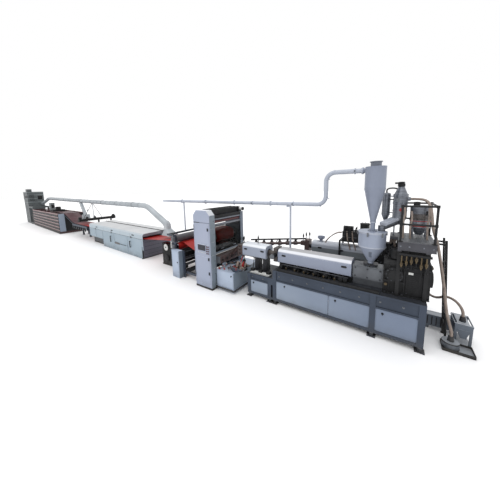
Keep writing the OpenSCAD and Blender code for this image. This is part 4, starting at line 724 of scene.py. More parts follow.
# Feed block, gearbox and motor
def drive_region():
    black, steel, plates, brass, feed = (Piece() for _ in range(5))
    for y, out in ((-160, -1), (160, 1)):
        feed.stand((-1915, -1415), y, out * 12, (1075, 1305))
        steel.bolts([(x, y + out * 12, z) for x in (-1890, -1665, -1440) for z in (1100, 1280)],
                    (0, out, 0), 24)
    steel.disc((HOPPER_X, 0, 1352), UP, 260, 12, 32)
    steel.box((-1760, -1500), (-95, 95), (1360, 1378))
    steel.rod((HOPPER_X, -95, 1369), (HOPPER_X, -190, 1369), 18, 10)
    black.rod((HOPPER_X, -190, 1369), (HOPPER_X, -240, 1369), 34, 12)
    for y, out in ((-240, -1), (240, 1)):
        for x in (-1372, -1290, -1140, -1058):
            black.stand((x - 9, x + 9), y, out * 26, (925, 1470))
        black.stand((-1390, -1040), y, out * 30, (1150, 1180))
        black.disc((-1215, y + out * 22, 1300), (0, out, 0), 290, 44, 40)
        black.disc((-1215, y + out * 52, 1300), (0, out, 0), 190, 20, 32)
        steel.bolt_circle((-1215, y + out * 44, 1300), (0, out, 0), 120, 10, 20)
        black.stand((-1390, -1040), y, out * 50, (DECK, 935))
        steel.bolts([(x, y + out * 28, 935) for x in (-1350, -1215, -1080)], UP, 28)
    brass.disc((-1340, -268, 1085), FRONT, 52, 18, 20)
    steel.rod((-1110, -60, 1610), (-1110, -60, 1680), 34, 14)
    for x in (-1330, -1100):
        steel.ring((x, 120, 1632), BACK, 56, 18, 24, 8)
    for y, out in ((-230, -1), (230, 1)):
        black.stand((-1030, -690), y, out * 10, (950, 1480))
        black.stack(11, 38, (-1005, -870), sorted((y + out * 10, y + out * 17)), (1000, 1016))
        black.stand((-850, -715), y + out * 10, out * 12, (1130, 1400))
        steel.bolts([(x, y + out * 10, z) for x in (-1015, -705) for z in (970, 1460)], (0, out, 0), 18)
        black.stand((-1040, -680), y, out * 36, (DECK, 932))
    for d in (80, 150, 220, 286):
        black.ring((-638, 0, 1240), ALONG, d, 9, 36, 6)
    for c, s in circle(8)[:4]:
        black.rod((-638, -145 * c, 1240 - 145 * s), (-638, 145 * c, 1240 + 145 * s), 9, 6)
    for x, y in (((-985, -735), (-156, -150)), ((-985, -735), (150, 156)), ((-720, -713), (-135, 135))):
        black.stack(6, 34, x, y, (1585, 1602))
    black.box((-690, -668), (-200, 200), (1420, 1530))
    for y in (-60, 0, 60):
        brass.rod((-668, y, 1470), (-640, y, 1470), 40, 8)
    black.box((-1186, -1008), (190, 212), (1560, 1806))
    black.box((-716, -664), (190, 212), (DECK, 1806))
    plates.box((-1000, -930), (-258, -252), (1352, 1392))
    black.box((-1180, -1010), (-240, -120), (1590, 1800))
    black.box((-1400, -1050), (250, 420), (DECK, 1780))
    black.done("drive_castings", BLACK, bevel=2.0)
    steel.done("drive_fittings", SHADED_STEEL, bevel=1.0)
    feed.done("feed_block_plates", STEEL, bevel=1.0)
    plates.done("blank_plates", PLATE)
    brass.done("drive_glands", BRASS)


# Hopper, cyclone and conveying pipe
def hopper_region():
    sheet, dark, steel, pane, drum = (Piece() for _ in range(5))
    x = HOPPER_X
    for z in (2040, 1752):
        sheet.band((x, 0, z), UP, 500, 22, 5)
    sheet.band((x, 0, 2058), UP, 520, 20, 4)
    for z in (2940, 3360):
        drum.band((x, 0, z), UP, 370, 16, 3)
    sheet.band((x, 0, 2255), UP, 96, 22, 12)
    for c, s in circle(6, 0.3):
        steel.square(x + 262 * c, 262 * s, 14, (1985, 2066))
    for r, z, d in ((88, 1345, 16), (70, 2077, 14), (92, 3380, 14)):
        steel.bolt_circle((x, 0, z), UP, r, 8, d, 0.2)
    low, high = Vector((x, -118, 1530)), Vector((x, -200, 1672))
    up = (high - low).normalized()
    out = Vector(FRONT) - up * Vector(FRONT).dot(up)
    out.normalize()
    side = Vector(ALONG)
    frame_points = []
    for k in range(33):
        a = 2 * math.pi * k / 32
        end = (high - low) / 2 * (1 if math.sin(a) >= 0 else -1) * 0.62
        spot = (low + high) / 2 + end + 26 * (math.cos(a) * side + math.sin(a) * up) + out * 4
        frame_points.append(spot)
    dark.sweep(frame_points, 12, 8)
    middle = (low + high) / 2
    for s in (-0.9, -0.45, 0.0, 0.45, 0.9):
        spot = middle + (high - low) / 2 * 0.62 * s + out * 3
        pane.disc(spot, out, 46, 6, 20)
    for x0, x1, z in ((-2035, -2011, HIGH_PIPE_Z), (-3450, -3425, PIPE_Z), (-4725, -4700, PIPE_Z)):
        sheet.rod((x1, PIPE_Y, z), (x0, PIPE_Y, z), 128, 32)
        steel.box((x0, x1), (55, 70), (z - 20, z + 20))
    for x0, out_x in ((-1895, -1), (-1865, 1)):
        steel.bolt_circle((x0, PIPE_Y, HIGH_PIPE_Z), (out_x, 0, 0), 58, 6, 10)
    bends = ((-2440, HIGH_PIPE_Z, ALONG), (-2590, 3170, UP), (-2590, 2730, UP), (-2740, PIPE_Z, ALONG))
    for x0, z, way in bends:
        sheet.band((x0, PIPE_Y, z), way, 100, 14, 4)
    for x0 in range(-7500, -2900, 900):
        sheet.band((x0, PIPE_Y, PIPE_Z), ALONG, 100, 12, 3)
    dark.ring((x, 0, 3470), UP, 210, 16, 40, 6)
    dark.done("hopper_sight_frame", CAP)
    pane.done("hopper_sight_glass", SIGHT)
    drum.done("cyclone_bands", GALVANISED)
    sheet.done("hopper_and_pipe_bands", PIPE, bevel=1.0)
    steel.done("hopper_clips_and_bolts", STEEL, bevel=1.0)


# Loaders, their pipes and the platform
def loader_region():
    steel, black, red, brass, pane, plain, dark, chute, tubes = (Piece() for _ in range(9))
    dx, dy = -1195, 330
    for z in (2335, 2480, 2640, 2788):
        steel.band((dx, dy, z), UP, 240, 18, 5)
    for c, s in circle(4, math.radians(20)):
        for z in (2640, 2788):
            steel.square(dx + 126 * c, dy + 126 * s, 10, (z - 30, z + 30))
    black.turned((dx, dy, 2968), UP, [(1, 0), (62, 0), (62, 50), (50, 62), (50, 96), (1, 100)], 28)
    for k in range(5):
        black.ring((dx, dy, 2990 + 14 * k), UP, 118, 6, 28, 4)
    black.rod((dx - 50, dy, 3040), (dx - 110, dy, 3040), 34, 12)
    red.disc((dx + 18, dy - 122, 2505), FRONT, 66, 10, 24)
    plain.box((dx - 70, dx - 20), (dy - 124, dy - 100), (2660, 2740))
    cx, cy = -1440, 470
    steel.turned((cx, cy, 2370), UP, [(1, -120), (34, -120), (76, 0), (76, 445), (60, 470), (1, 480)], 32)
    for z in (2380, 2600, 2805):
        steel.band((cx, cy, z), UP, 152, 14, 4)
    for z in (2420, 2770):
        steel.rod((cx, cy, z), (dx - 70, dy + 40, z), 22, 10)
    black.tube([(cx, cy, 2840), (cx, cy, 2895), (cx + 30, cy - 15, 2930), (cx + 110, cy - 60, 2940),
                (cx + 180, cy - 105, 2925), (dx - 30, dy + 18, 2900)], 8, 30, 10)
    black.tube([(cx + 70, cy - 20, 2700), (cx + 110, cy - 40, 2700), (dx - 70, dy + 40, 2690)], 8, 26, 10)
    low, high = Vector((-1470, 128, 2176)), Vector((-1225, 308, 2300))
    side = Vector((high.y - low.y, low.x - high.x, 0)).normalized() * 92
    for part, wide, lift, thick in ((chute, 1.0, 0, 62), (dark, 1.06, -64, 10)):
        edge, drop = side * wide, Vector((0, 0, lift))
        part.slab([low + edge + drop, low - edge + drop, high - edge + drop, high + edge + drop], thick)
    lx, ly = -870, 300
    for z in (2180, 2310, 2448):
        steel.band((lx, ly, z), UP, 310, 16, 5)
    red.band((lx, ly, 2204), UP, 310, 24, 7)
    pane.turned((lx, ly, 2380), UP, [(153, -60), (158, -60), (158, 58), (153, 58)], 40)
    steel.turned((lx, ly, 2462), UP, [(1, 0), (158, 0), (158, 104), (120, 134), (1, 138)], 32)
    for k in range(6):
        steel.ring((lx, ly, 2476 + 16 * k), UP, 318, 6, 32, 4)
    red.band((lx, ly, 2300), UP, 310, 14, 7)
    for c, s in circle(4, math.radians(35)):
        black.square(lx + 160 * c, ly + 160 * s, 12, (2420, 2500))
    black.turned((lx - 60, ly, 2594), UP, [(1, 0), (52, 0), (52, 70), (1, 76)], 24)
    for px, py in ((-1160, -280), (-1160, 610), (-680, -280), (-680, 610)):
        black.disc((px, py, 1966), UP, 90, 12, 20)
        for z in (2290, 2620):
            black.disc((px, py, z), UP, 48, 50, 16)
    plain.box((-1180, -660), (-300, 630), (1960, 1964))
    for k in range(8):
        for i in range(9):
            px, py = -1150 + k * 66, -270 + i * 106 + (k % 2) * 40
            plain.box((px - 22, px + 22), (py - 5, py + 5), (1964, 1967))
    for y, out in ((-310, -1), (640, 1)):
        dark.stand((-1190, -650), y, out * 6, (1945, 1965))
        dark.stand((-1190, -650), y, out * 6, (1808, 1822))
        steel.bolts([(px, y, 1885) for px in (-1150, -1020, -820, -690)], (0, out, 0), 20)
    black.rod((-1170, -345, 1740), (-700, -345, 1740), 44, 16)
    for x in (-1150, -730):
        black.box((x - 14, x + 14), (-350, -300), (1715, 1765))
    for k, x in enumerate((-1120, -1050, -980, -910, -840, -770)):
        drop = 1500 + 36 * (k * 5 % 4)
        brass.rod((x, -345, 1720), (x, -345, drop), 22, 10)
        brass.disc((x, -345, drop + 60), UP, 44, 54, 8)
        black.rod((x, -345, drop + 60), (x, -400, drop + 66), 12, 8)
        black.tube([(x, -345, drop), (x + 4, -342, drop - 50), (x + 20, -320, drop - 95),
                    (x + 30, -280, drop - 120), (x + 34, -240, drop - 125)], 6, 20, 8)
    black.turned((-1190, -60, 1585), UP, [(1, 0), (120, 0), (120, 150), (96, 176), (1, 180)], 28)
    black.box((-1330, -1080), (60, 210), (1585, 1740))
    for x, y, d in ((-1300, 300, 60), (-1262, 420, 44), (-1236, 250, 44), (-1180, 520, 60), (-1100, 440, 44)):
        tubes.tube([(x, y, 1900), (x - 6, y - 4, 1800), (x + 8, y - 20, 1690), (x + 4, y - 40, 1570)],
                   6, d, 10)
    for x, z in ((-1120, 2600), (-1010, 2500), (-760, 2560)):
        tubes.tube([(x, 90, z), (x + 10, 70, z - 160), (x - 6, 64, z - 320), (x + 4, 70, 1964)], 6, 34, 10)
    for x in (-1330, -1270, -1090):
        black.tube([(x, 60, 1806), (x, 40, 1740), (x + 20, -20, 1700), (x + 10, -90, 1640),
                    (x, -120, 1585)], 6, 34, 10)
    chute.done("dryer_chute_cover", PIPE, bevel=3.0)
    tubes.done("loader_water_tubes", HOSE)
    steel.done("loader_bands", STAINLESS, bevel=1.0)
    black.done("loader_heads_and_pipes", BLACK, bevel=1.5)
    red.done("loader_red_marks", RED_PART)
    brass.done("water_valves", BRASS)
    pane.done("loader_glass", LENS)
    plain.done("platform_tread", STEEL)
    dark.done("platform_edges", PLATFORM)


# Suction bin and hose sockets
def bin_region():
    steel, black, cuffs = Piece(), Piece(), Piece()
    for y in (190, 600):
        steel.box((-244, 4), (y - 6, y + 6), (388, 424))
    for x in (-240, 0):
        steel.box((x - 5, x + 5), (190, 600), (388, 424))
    for x, y, z in ((-310, 0, 150), (-120, 340, 420)):
        black.ring((x, y, z + 6), UP, 84, 14, 28, 6)
        cuffs.turned((x, y, z + 22), UP, [(25, 0), (46, 0), (36, 70), (25, 70)], 28)
        steel.band((x, y, z + 74), UP, 64, 14, 5)
    for z in (34, 140):
        black.band((-310, 0, z), UP, 240, 16, 5)
    for y in (-130, 146):
        black.box((-430, 0), (y - 4, y + 4), (0, 56))
    for x in (-426, -4):
        black.box((x - 4, x + 4), (-130, 146), (0, 56))
    for y in (530, 700):
        steel.box((-646, -194), (y - 6, y + 6), (276, 306))
    steel.box((-646, -634), (524, 706), (276, 306))
    for k in range(5):
        black.box((-600 + 70 * k, -584 + 70 * k), (526, 530), (90, 270))
    steel.box((-204, -36), (184, 190), (300, 320))
    steel.band((-1045, 330, 2720), ALONG, 64, 22, 6)
    steel.band((-870, 486, 2380), BACK, 64, 22, 6)
    steel.done("bin_rims", BIN, bevel=1.5)
    black.done("bin_feet", BLACK)
    cuffs.done("hose_cuffs", RUBBER)


# Rear extruder: small hopper, drive parts and the dosing unit
def rear_region():
    white, black, steel, brass, tubes = (Piece() for _ in range(5))
    white.turned((-3010, 1230, 1400), UP,
                 [(1, 0), (60, 0), (60, 14), (38, 18), (38, 40), (104, 100), (104, 150),
                  (96, 150), (96, 104), (1, 60)], 32)
    white.box((-3100, -2920), (1150, 1310), (1396, 1404))
    x0 = -2420
    for k in range(3):
        x, turn_x = x0 + 60 + 130 * k, x0 + 120 + 110 * k
        black.turned((x, 1110, 1560), UP, [(1, 0), (48, 0), (48, 150), (36, 190), (1, 192)], 20)
        steel.band((x, 1110, 1640), UP, 96, 12, 4)
        brass.rod((x, 1110, 1750), (x, 1110, 1780), 22, 10)
        black.tube([(x, 1110, 1776), (x + 4, 1116, 1860), (x + 30, 1150, 1920), (turn_x, 1200, 1900),
                    (turn_x, 1230, 1792)], 8, 26, 10)
    for z in (1560, 1766):
        black.box((-2410, -1790), (1064, 1072), (z, z + 18))
    for k in range(6):
        black.ring((-2390 + 36 * k, REAR_Y, 1855), ALONG, 132, 8, 28, 4)
    black.band((-1900, REAR_Y, 2000), UP, 220, 26, 6)
    steel.bolt_circle((-1900, REAR_Y, 2020), UP, 96, 8, 16)
    for x in (-2460, -1740):
        for y in (1030, 1470):
            black.square(x, y, 40, (DECK, 917))
    for c, s in circle(30, math.pi / 30):
        if s < -0.75:
            continue
        fin = [(REAR_Y + r * c - w * s, 1180 + r * s + w * c)
               for r, w in ((158, 3), (158, -3), (174, -3), (174, 3))]
        black.prism(fin, "x", (-1330, -1060))
    for y, out in ((1050, -1), (1450, 1)):
        black.disc((-1490, y + out * 14, 1200), (0, out, 0), 240, 28, 32)
        steel.bolt_circle((-1490, y + out * 28, 1200), (0, out, 0), 96, 8, 18)
        for x in (-1620, -1360):
            black.stand((x - 8, x + 8), y, out * 20, (930, 1400))
    for x in (-3000, -2700, -2400, -2100):
        for y, out in ((1100, -1), (1400, 1)):
            black.turned((x, y, 975), (0, out, 0),
                         [(1, -70), (68, -70), (72, -30), (68, 10), (30, 10), (30, 60), (1, 60)], 24)
    black.box((-3220, -1760), (940, 1000), (DECK, 950))
    for k in range(2):
        x, y = -2300 + 130 * k, 1120 + 70 * k
        tubes.tube([(-2440, y, 1740), (-2540, y, 1725), (-2650, y + 4, 1660), (-2760, y + 10, 1560),
                    (-2850, y + 16, 1440), (-2900, y + 20, 1312)], 8, 30, 10)
        tubes.tube([(x, 1090, 1800), (x + 10, 1076, 1700), (x + 30, 1068, 1560), (x + 70, 1070, 1420),
                    (x + 100, 1076, 1300)], 8, 34, 10)
    tubes.done("rear_feed_tubes", HOSE)
    white.done("rear_small_hopper", GUARD)
    black.done("rear_drive_parts", BLACK, bevel=1.5)
    steel.done("rear_bolts", STEEL)
    brass.done("rear_brass", BRASS)


# Sensors, melt pump, die and trolley
def die_region():
    steel, black, copper, red, panel, rubber, lumps, plate = (Piece() for _ in range(8))
    spots = [(-5045, -60, 1340), (-4980, 40, 1340), (-4920, -90, 1340), (-3560, REAR_Y, 1335),
             (-3450, 1200, 1400), (-3380, 1300, 1400), (-4480, 60, 1400)]
    for x, y, z in spots:
        steel.rod((x, y, z), (x, y, z + 130), 18, 12)
        black.rod((x, y, z + 120), (x, y, z + 200), 44, 16)
        steel.disc((x, y, z + 8), UP, 40, 16, 6)
        black.rod((x, y, z + 200), (x, y, z + 240), 18, 10)
    x = -3815
    steel.bolts([(x, y, 1400) for y in (-110, -40, 40, 110)], UP, 26)
    black.rod((x, -150, 1215), (x, -330, 1215), 120, 24)
    steel.rod((x, -330, 1215), (x, -352, 1215), 132, 24)
    steel.bolts([(x + 46 * math.cos(a), -352, 1215 + 46 * math.sin(a)) for a in (0.8, 2.4, 3.9, 5.5)],
                FRONT, 16)
    for x in (-5055, -4905):
        for y in (-165, 165):
            steel.bolts([(x, y, 1340)], UP, 24)
    for z in (1085, 1190, 1295):
        copper.box((-5062, -4898), (-188, -180), (z - 34, z + 34))
        black.box((-5000, -4960), (-204, -188), (z - 16, z + 16))
    for y in range(-560, 600, 80):
        steel.bolts([(-5435, y, 1010), (-5605, y, 1010)], UP, 26)
        steel.rod((-5658, y, 940), (-5672, y, 996), 18, 8)
        black.disc((-5672, y, 1000), (-0.2, 0, 1), 30, 16, 6)
    for y in range(-520, 560, 208):
        copper.box((-5400, -5390), (y - 88, y + 88), (815, 985))
        copper.box((-5555, -5485), (y - 88, y + 88), (1010, 1018))
        black.box((-5392, -5360), (y - 24, y + 24), (870, 930))
    for y, out in ((-600, -1), (600, 1)):
        steel.stand((-5636, -5404), y, out * 14, (796, 1004))
        steel.bolts([(x, y + out * 14, z) for x in (-5610, -5520, -5430) for z in (820, 980)],
                    (0, out, 0), 24)
    for t in (0.25, 0.5, 0.75):
        c = Vector((-5150, 0, 1200)).lerp(Vector((-5460, 0, 900)), t)
        copper.disc(c, (-310, 0, -300), 152, 70, 28)
    a, b = Vector((-3560, REAR_Y, 1270)), Vector((-4980, 260, 1270))
    for i in range(1, 7):
        c = a.lerp(b, i / 7)
        copper.disc(c, b - a, 126, 96, 28)
        steel.disc(c, b - a, 130, 12, 28)
        black.square(c.x, c.y, 26, (1330, 1376))
    black.sweep([a.lerp(b, t / 20) + Vector((60, 60, 130)) for t in range(21)], 60, 4)
    for t in (0.15, 0.5, 0.85):
        p = a.lerp(b, t)
        black.sweep([p + Vector((60, 60, 130)), p + Vector((20, 20, 60)), p], 20, 6)
    red.rod((-4905, -130, 1010), (-4915, -250, 830), 34, 14)
    red.rod((-4905, -130, 1010), (-4900, -40, 1060), 26, 12)
    black.ring((-4890, -190, 960), (0.2, -1, 0.1), 150, 22, 32, 8)
    steel.rod((-4890, -190, 960), (-4880, -20, 1010), 24, 12)
    panel.box((-5505, -4895), (-664, -660), (150, 600))
    rim(panel, (-5510, -4890), (140, 612), -664, -1)
    panel.box((-5500, -4900), (-668, -664), (330, 342))
    for y0, y1 in ((-640, -20), (20, 640)):
        panel.box((-4884, -4880), (y0, y1), (150, 600))
    lock(black, -4960, -664, 520, -1)
    rubber.box((-5546, -4854), (-690, -680), (70, 122))
    rubber.box((-4860, -4850), (-686, 686), (70, 122))
    for y in (-590, 590):
        for x in (-5450, -4950):
            rubber.ring((x, y, 45), BACK, 62, 26, 28, 8)
    tray_rim = ((-5040, -560), (-4620, -560), (-4620, -140), (-5040, -140), (-5040, -560))
    steel.sweep([(x, y, 752) for x, y in tray_rim], 16, 8)
    for x in (-4460, -4200, -3950):
        black.square(x, -280, 50, (670, 760))
        black.rod((x, -280, 760), (x, -200, 1030), 24, 10)
    steel.box((-4480, -3860), (-420, -250), (672, 682))
    steel.rod((-4480, -420, 690), (-3860, -420, 690), 20, 10)
    heaps = [((-5040, -4650), (-540, -160), (660, 775), 44), ((-5480, -4960), (-620, 60), (630, 690), 40)]
    for span_x, span_y, span_z, count in heaps:
        for k in range(count):
            spot = Vector([chance.uniform(*span) for span in (span_x, span_y, span_z)])
            way = Vector([chance.uniform(-1, 1) for _ in range(3)]) * chance.uniform(30, 70)
            way.z *= 0.4
            heap = (red, black, copper, lumps)[k % 4]
            heap.rod(spot - way, spot + way, chance.uniform(24, 60), 7, chance.uniform(20, 50))
    for k in range(3):
        lumps.rod((-4930 + 90 * k, -420 + 70 * k, 740),
                  (-4900 + 90 * k, -380 + 60 * k, 900 - 30 * k), 90, 10, 60)
    red.rod((-4790, -330, 740), (-4730, -350, 905), 80, 9, 40)
    black.rod((-4850, -250, 740), (-4800, -200, 925), 120, 10, 80)
    plate.box((-4470, -3880), (-430, -240), (683, 692))
    plate.done("die_stand_plate", PLATE, bevel=2.0)
    lumps.done("scrap_lumps", HOSE)
    steel.done("die_bolts_and_sensors", STEEL, bevel=1.0)
    black.done("die_dark_fittings", BLACK, bevel=1.0)
    copper.done("die_heaters", COPPER, bevel=1.0)
    red.done("die_red_lever", RED_PART)
    panel.done("trolley_panels", PALE, bevel=1.0)
    rubber.done("trolley_bumpers", RUBBER, bevel=2.0)


# Calender: cabinet front, screen, buttons, bars and the far motor
def calender_region():
    panel, dark, screen, red, steel, pink, white = (Piece() for _ in range(7))
    front = -850
    rim(panel, (-6225, -5565), (120, 2020), front, -1)
    panel.box((-6190, -5600), (front - 4, front), (170, 1000))
    panel.box((-6190, -5600), (front - 4, front), (1420, 1985))
    dark.box((-6232, -5990), (front - 3, front), (2024, 2046))
    dark.box((-5990, -5560), (front - 2, front), (2030, 2040))
    panel.box((-6090, -5730), (front - 16, front), (1180, 1384))
    screen.box((-6072, -5750), (front - 20, front - 15), (1198, 1366))
    panel.box((-5712, -5600), (front - 12, front), (1090, 1384))
    for k in range(4):
        for i in range(2):
            x, z = -5684 + 56 * i, 1128 + 68 * k
            steel.disc((x, front - 14, z), FRONT, 40, 6, 20)
            red.disc((x, front - 22, z), FRONT, 34, 18, 20)
    panel.box((-6090, -5730), (front - 8, front), (1088, 1166))
    for k in range(6):
        pink.disc((-6056 + 58 * k, front - 12, 1128), FRONT, 24, 12, 16)
    for z in (1842, 953, 512):
        dark.box((-5650, -5612), (front - 24, front - 4), (z - 44, z + 44))
    for z in (400, 1200, 1900):
        steel.rod((-6229, front - 8, z - 60), (-6229, front - 8, z + 60), 18, 12)
    dark.box((-6245, -5545), (-852, -628), (0, 60))
    for z in (300, 700, 1100, 1500, 1900):
        panel.box((-5550, -5544), (-820, -660), (z, z + 360))
        dark.disc((-5542, -690, z + 180), ALONG, 22, 8, 12)
    for z in (2120, 1950):
        steel.rod((-5595, -630, z), (-5595, 630, z), 66, 20)
    red.rod((-5640, -628, 2035), (-5640, 628, 2035), 84, 24)
    dark.box((-5640, -5556), BETWEEN_SIDES, (2160, 2236))
    for y in (-628, 618):
        dark.box((-5600, -5580), (y, y + 10), (1110, 1920))
    dark.box((-5602, -5578), BETWEEN_SIDES, (1110, 1132))
    dark.box((-5602, -5578), BETWEEN_SIDES, (1900, 1922))
    # Painted highlight: a white bar for the bright line along the lower beam under the window.
    white.box((-5592, -5568), (-620, 620), (1040, 1062))
    for y in (-300, 300):
        steel.oval((-5584, y, 1180), 140, 24, "x", 16)
    dark.turned((-5650, 715, 2250), UP, [(1, 0), (66, 0), (66, 90), (54, 104), (1, 106)], 24)
    white.turned((-5560, 715, 2330), ALONG, [(1, -80), (56, -80), (56, 20), (44, 34), (1, 36)], 24)
    dark.turned((-5520, 715, 2330), ALONG, [(1, 0), (60, 0), (60, 26), (50, 30), (1, 30)], 24)
    for z in (692, 1107, 1522):
        steel.disc((ROLL_X, 790, z), BACK, 240, 40, 32)
        steel.bolt_circle((ROLL_X, 810, z), BACK, 92, 8, 22)
    for x in (-6190, -5600):
        dark.box((x - 50, x + 50), (640, 780), (0, 30))
    dark.box((-6232, -6218), BETWEEN_SIDES, (2100, 2236))
    for x in (-6050, ROLL_X, -5740):
        dark.box((x - 8, x + 8), (-600, 760), (2400, 2412))
    panel.done("cabinet_panels", CABINET, bevel=2.0)
    dark.done("calender_dark_fittings", BLACK, bevel=1.0)
    screen.done("operator_screen", SCREEN)
    red.done("calender_red_bars", MAROON)
    pink.done("operator_buttons", PLATE)
    steel.done("calender_bars", STAINLESS)
    white.done("calender_motor_cap_and_beam_highlight", PLATE)


# Haul-off: cabinet doors, bearing blocks, chain cover and drive disc
def haul_region():
    panel, dark, steel, white, rubber, web = (Piece() for _ in range(6))
    for y, out in ((-830, -1), (830, 1)):
        rim(panel, (-7496, -7114), (60, 930), y, out)
        panel.stand((-7460, -7150), y, out * 4, (120, 880))
        lock(dark, -7190, y + out * 4, 560, out)
        panel.stand((-7510, -7100), y - out * 170, out * 178, (946, 958))
    for y, out in ((-670, -1), (670, 1)):
        for z in (LOWER_ROLL_Z, UPPER_ROLL_Z):
            steel.stand((-7640, -7460), y, out * 50, (z - 90, z + 90))
            steel.disc((HAUL_X, y + out * 60, z), (0, out, 0), 110, 24, 28)
            for dx in (-70, 70):
                steel.bolts([(HAUL_X + dx, y + out * 50, z + dz) for dz in (-64, 64)], (0, out, 0), 20)
        steel.rod((HAUL_X, y + out * 25, 1380), (HAUL_X, y + out * 25, 1470), 50, 20)
        dark.disc((HAUL_X, y + out * 25, 1480), UP, 90, 20, 24)
        white.stand((-7690, -7655), y, out * 40, (960, 1180))
    dark.box((-7300, -7240), (-630, 630), (850, 945))
    for z in (400, 620):
        steel.rod((-7100, -630, z), (-7100, 630, z), 40, 14)
        steel.rod((-7660, -630, z + 60), (-7660, 630, z + 60), 40, 14)
    rubber.box((-7010, -7000), (-630, 630), (240, 300))
    # Painted shade: dark plates at the far side and inside the haul-off frame fill the shade between its
    # parts.
    dark.box((-7690, -7020), (636, 646), (120, 900))
    dark.box((-7712, -7702), (-620, 620), (240, 880))
    dark.box((-7480, -7130), (-628, -622), (60, 930))
    outer, inner = [], []
    for k in range(19):
        a = math.radians(-80 + 9 * k)
        outer.append((HAUL_X + 147 * math.cos(a), LOWER_ROLL_Z + 147 * math.sin(a)))
        inner.append((HAUL_X + 141 * math.cos(a), LOWER_ROLL_Z + 141 * math.sin(a)))
    web.prism(outer + inner[::-1], "y", (-560, 560))
    x = -8640
    white.turned((x, -300, 745), FRONT, [(34, 0), (132, 0), (132, 8), (120, 14), (34, 10)], 40)
    dark.turned((x, -300, 745), FRONT, [(1, 0), (34, 0), (34, 6), (20, 22), (1, 24)], 32)
    white.bolt_circle((x, -310, 745), FRONT, 92, 6, 14)
    dark.turned((x, -260, 300), FRONT, [(1, 0), (150, 0), (150, 40), (130, 50), (1, 50)], 32)
    dark.box((-8900, -8380), (-272, -260), (420, 590))
    dark.stack(4, 38, (-8860, -8420), (-278, -272), (440, 456))
    dark.box((-8980, -8300), (-280, 20), (0, 40))
    dark.rod((-8290, -130, 230), (-8090, -130, 230), 180, 24)
    web.done("haul_off_web", RED)
    panel.done("haul_off_doors", PALE, bevel=1.5)
    dark.done("haul_off_dark_parts_and_shade_plates", BLACK, bevel=1.5)
    steel.done("haul_off_bearings", STEEL, bevel=1.5)
    white.done("haul_off_disc", PLATE)
    rubber.done("haul_off_guard_strip", RUBBER)


# Oven: doors, handles, control strip, corner strips and lid fittings
def oven_region():
    panel, dark, steel, screen, lid = (Piece() for _ in range(5))
    y = -440
    for x0, x1 in ((-14430, -13020), (-13000, -11580), (-11560, -10250)):
        rim(panel, (x0, x1), (60, 830), y, -1)
    for x0, x1 in ((-16330, -15400), (-15390, -14450)):
        rim(panel, (x0, x1), (410, 830), y, -1)
    for x in (-13370, -11270):
        dark.rod((x, y - 44, 392), (x, y - 44, 708), 36, 14)
        for z in (410, 690):
            dark.rod((x, y, z), (x, y - 44, z), 28, 12)
    panel.box((-13016, -11571), (y - 16, y), (330, 480))
    screen.box((-12950, -12380), (y - 20, y - 15), (352, 458))
    for k in range(7):
        dark.disc((-12300 + 96 * k, y - 20, 405), FRONT, 46, 12, 16)
    dark.box((-10260, -10230), (y - 8, y + 40), (0, 560))
    dark.box((-10300, -10225), (y - 20, 950), (0, 30))
    # Painted shade: a dark strip along the body under the lid's edge.
    dark.box(OVEN, (y - 3, y), (880, 892))
    for x0 in range(-16300, -10200, 1000):
        lid.box((x0, x0 + 10), (y - 3, y + 2), (895, 1072))
    for x in (-15400, -13300, -11200):
        steel.box((x - 60, x + 60), (y - 12, y + 8), (850, 930))
        steel.rod((x - 50, y - 10, 890), (x + 50, y - 10, 890), 26, 12)
    for x in (-15200, -13200, -11000):
        dark.oval((x, y, 1010), 200, 40, "y", -14)
    # Painted shade: a dark strip in the gap between the lid and the plenum.
    dark.box(OVEN, (470, 506), (1120, 1172))
    dark.box(OVEN_END, (-420, 470), (1000, 1012))
    dark.box(OVEN_END, (-436, -424), (890, 1000))
    dark.box(OVEN_END, (478, 490), (890, 1000))
    steel.box((-10150, -10132), (-425, 480), (842, 858))
    dark.stack(4, 180, (-10142, -10136), (-380, 880), (200, 210))
    dark.box((-16190, -14590), (-300, 800), (10, 396))
    for k in range(10):
        steel.box((-16150 + 150 * k, -16060 + 150 * k), (-304, -298), (80, 320))
    panel.done("oven_doors", OVEN_FRONT, bevel=1.5)
    dark.done("oven_dark_trim_and_shade_strips", BLACK, bevel=1.5)
    steel.done("oven_hinges", STEEL, bevel=1.5)
    screen.done("oven_display", LENS)
    lid.done("oven_lid_seams", OVEN_LID, bevel=2.0)


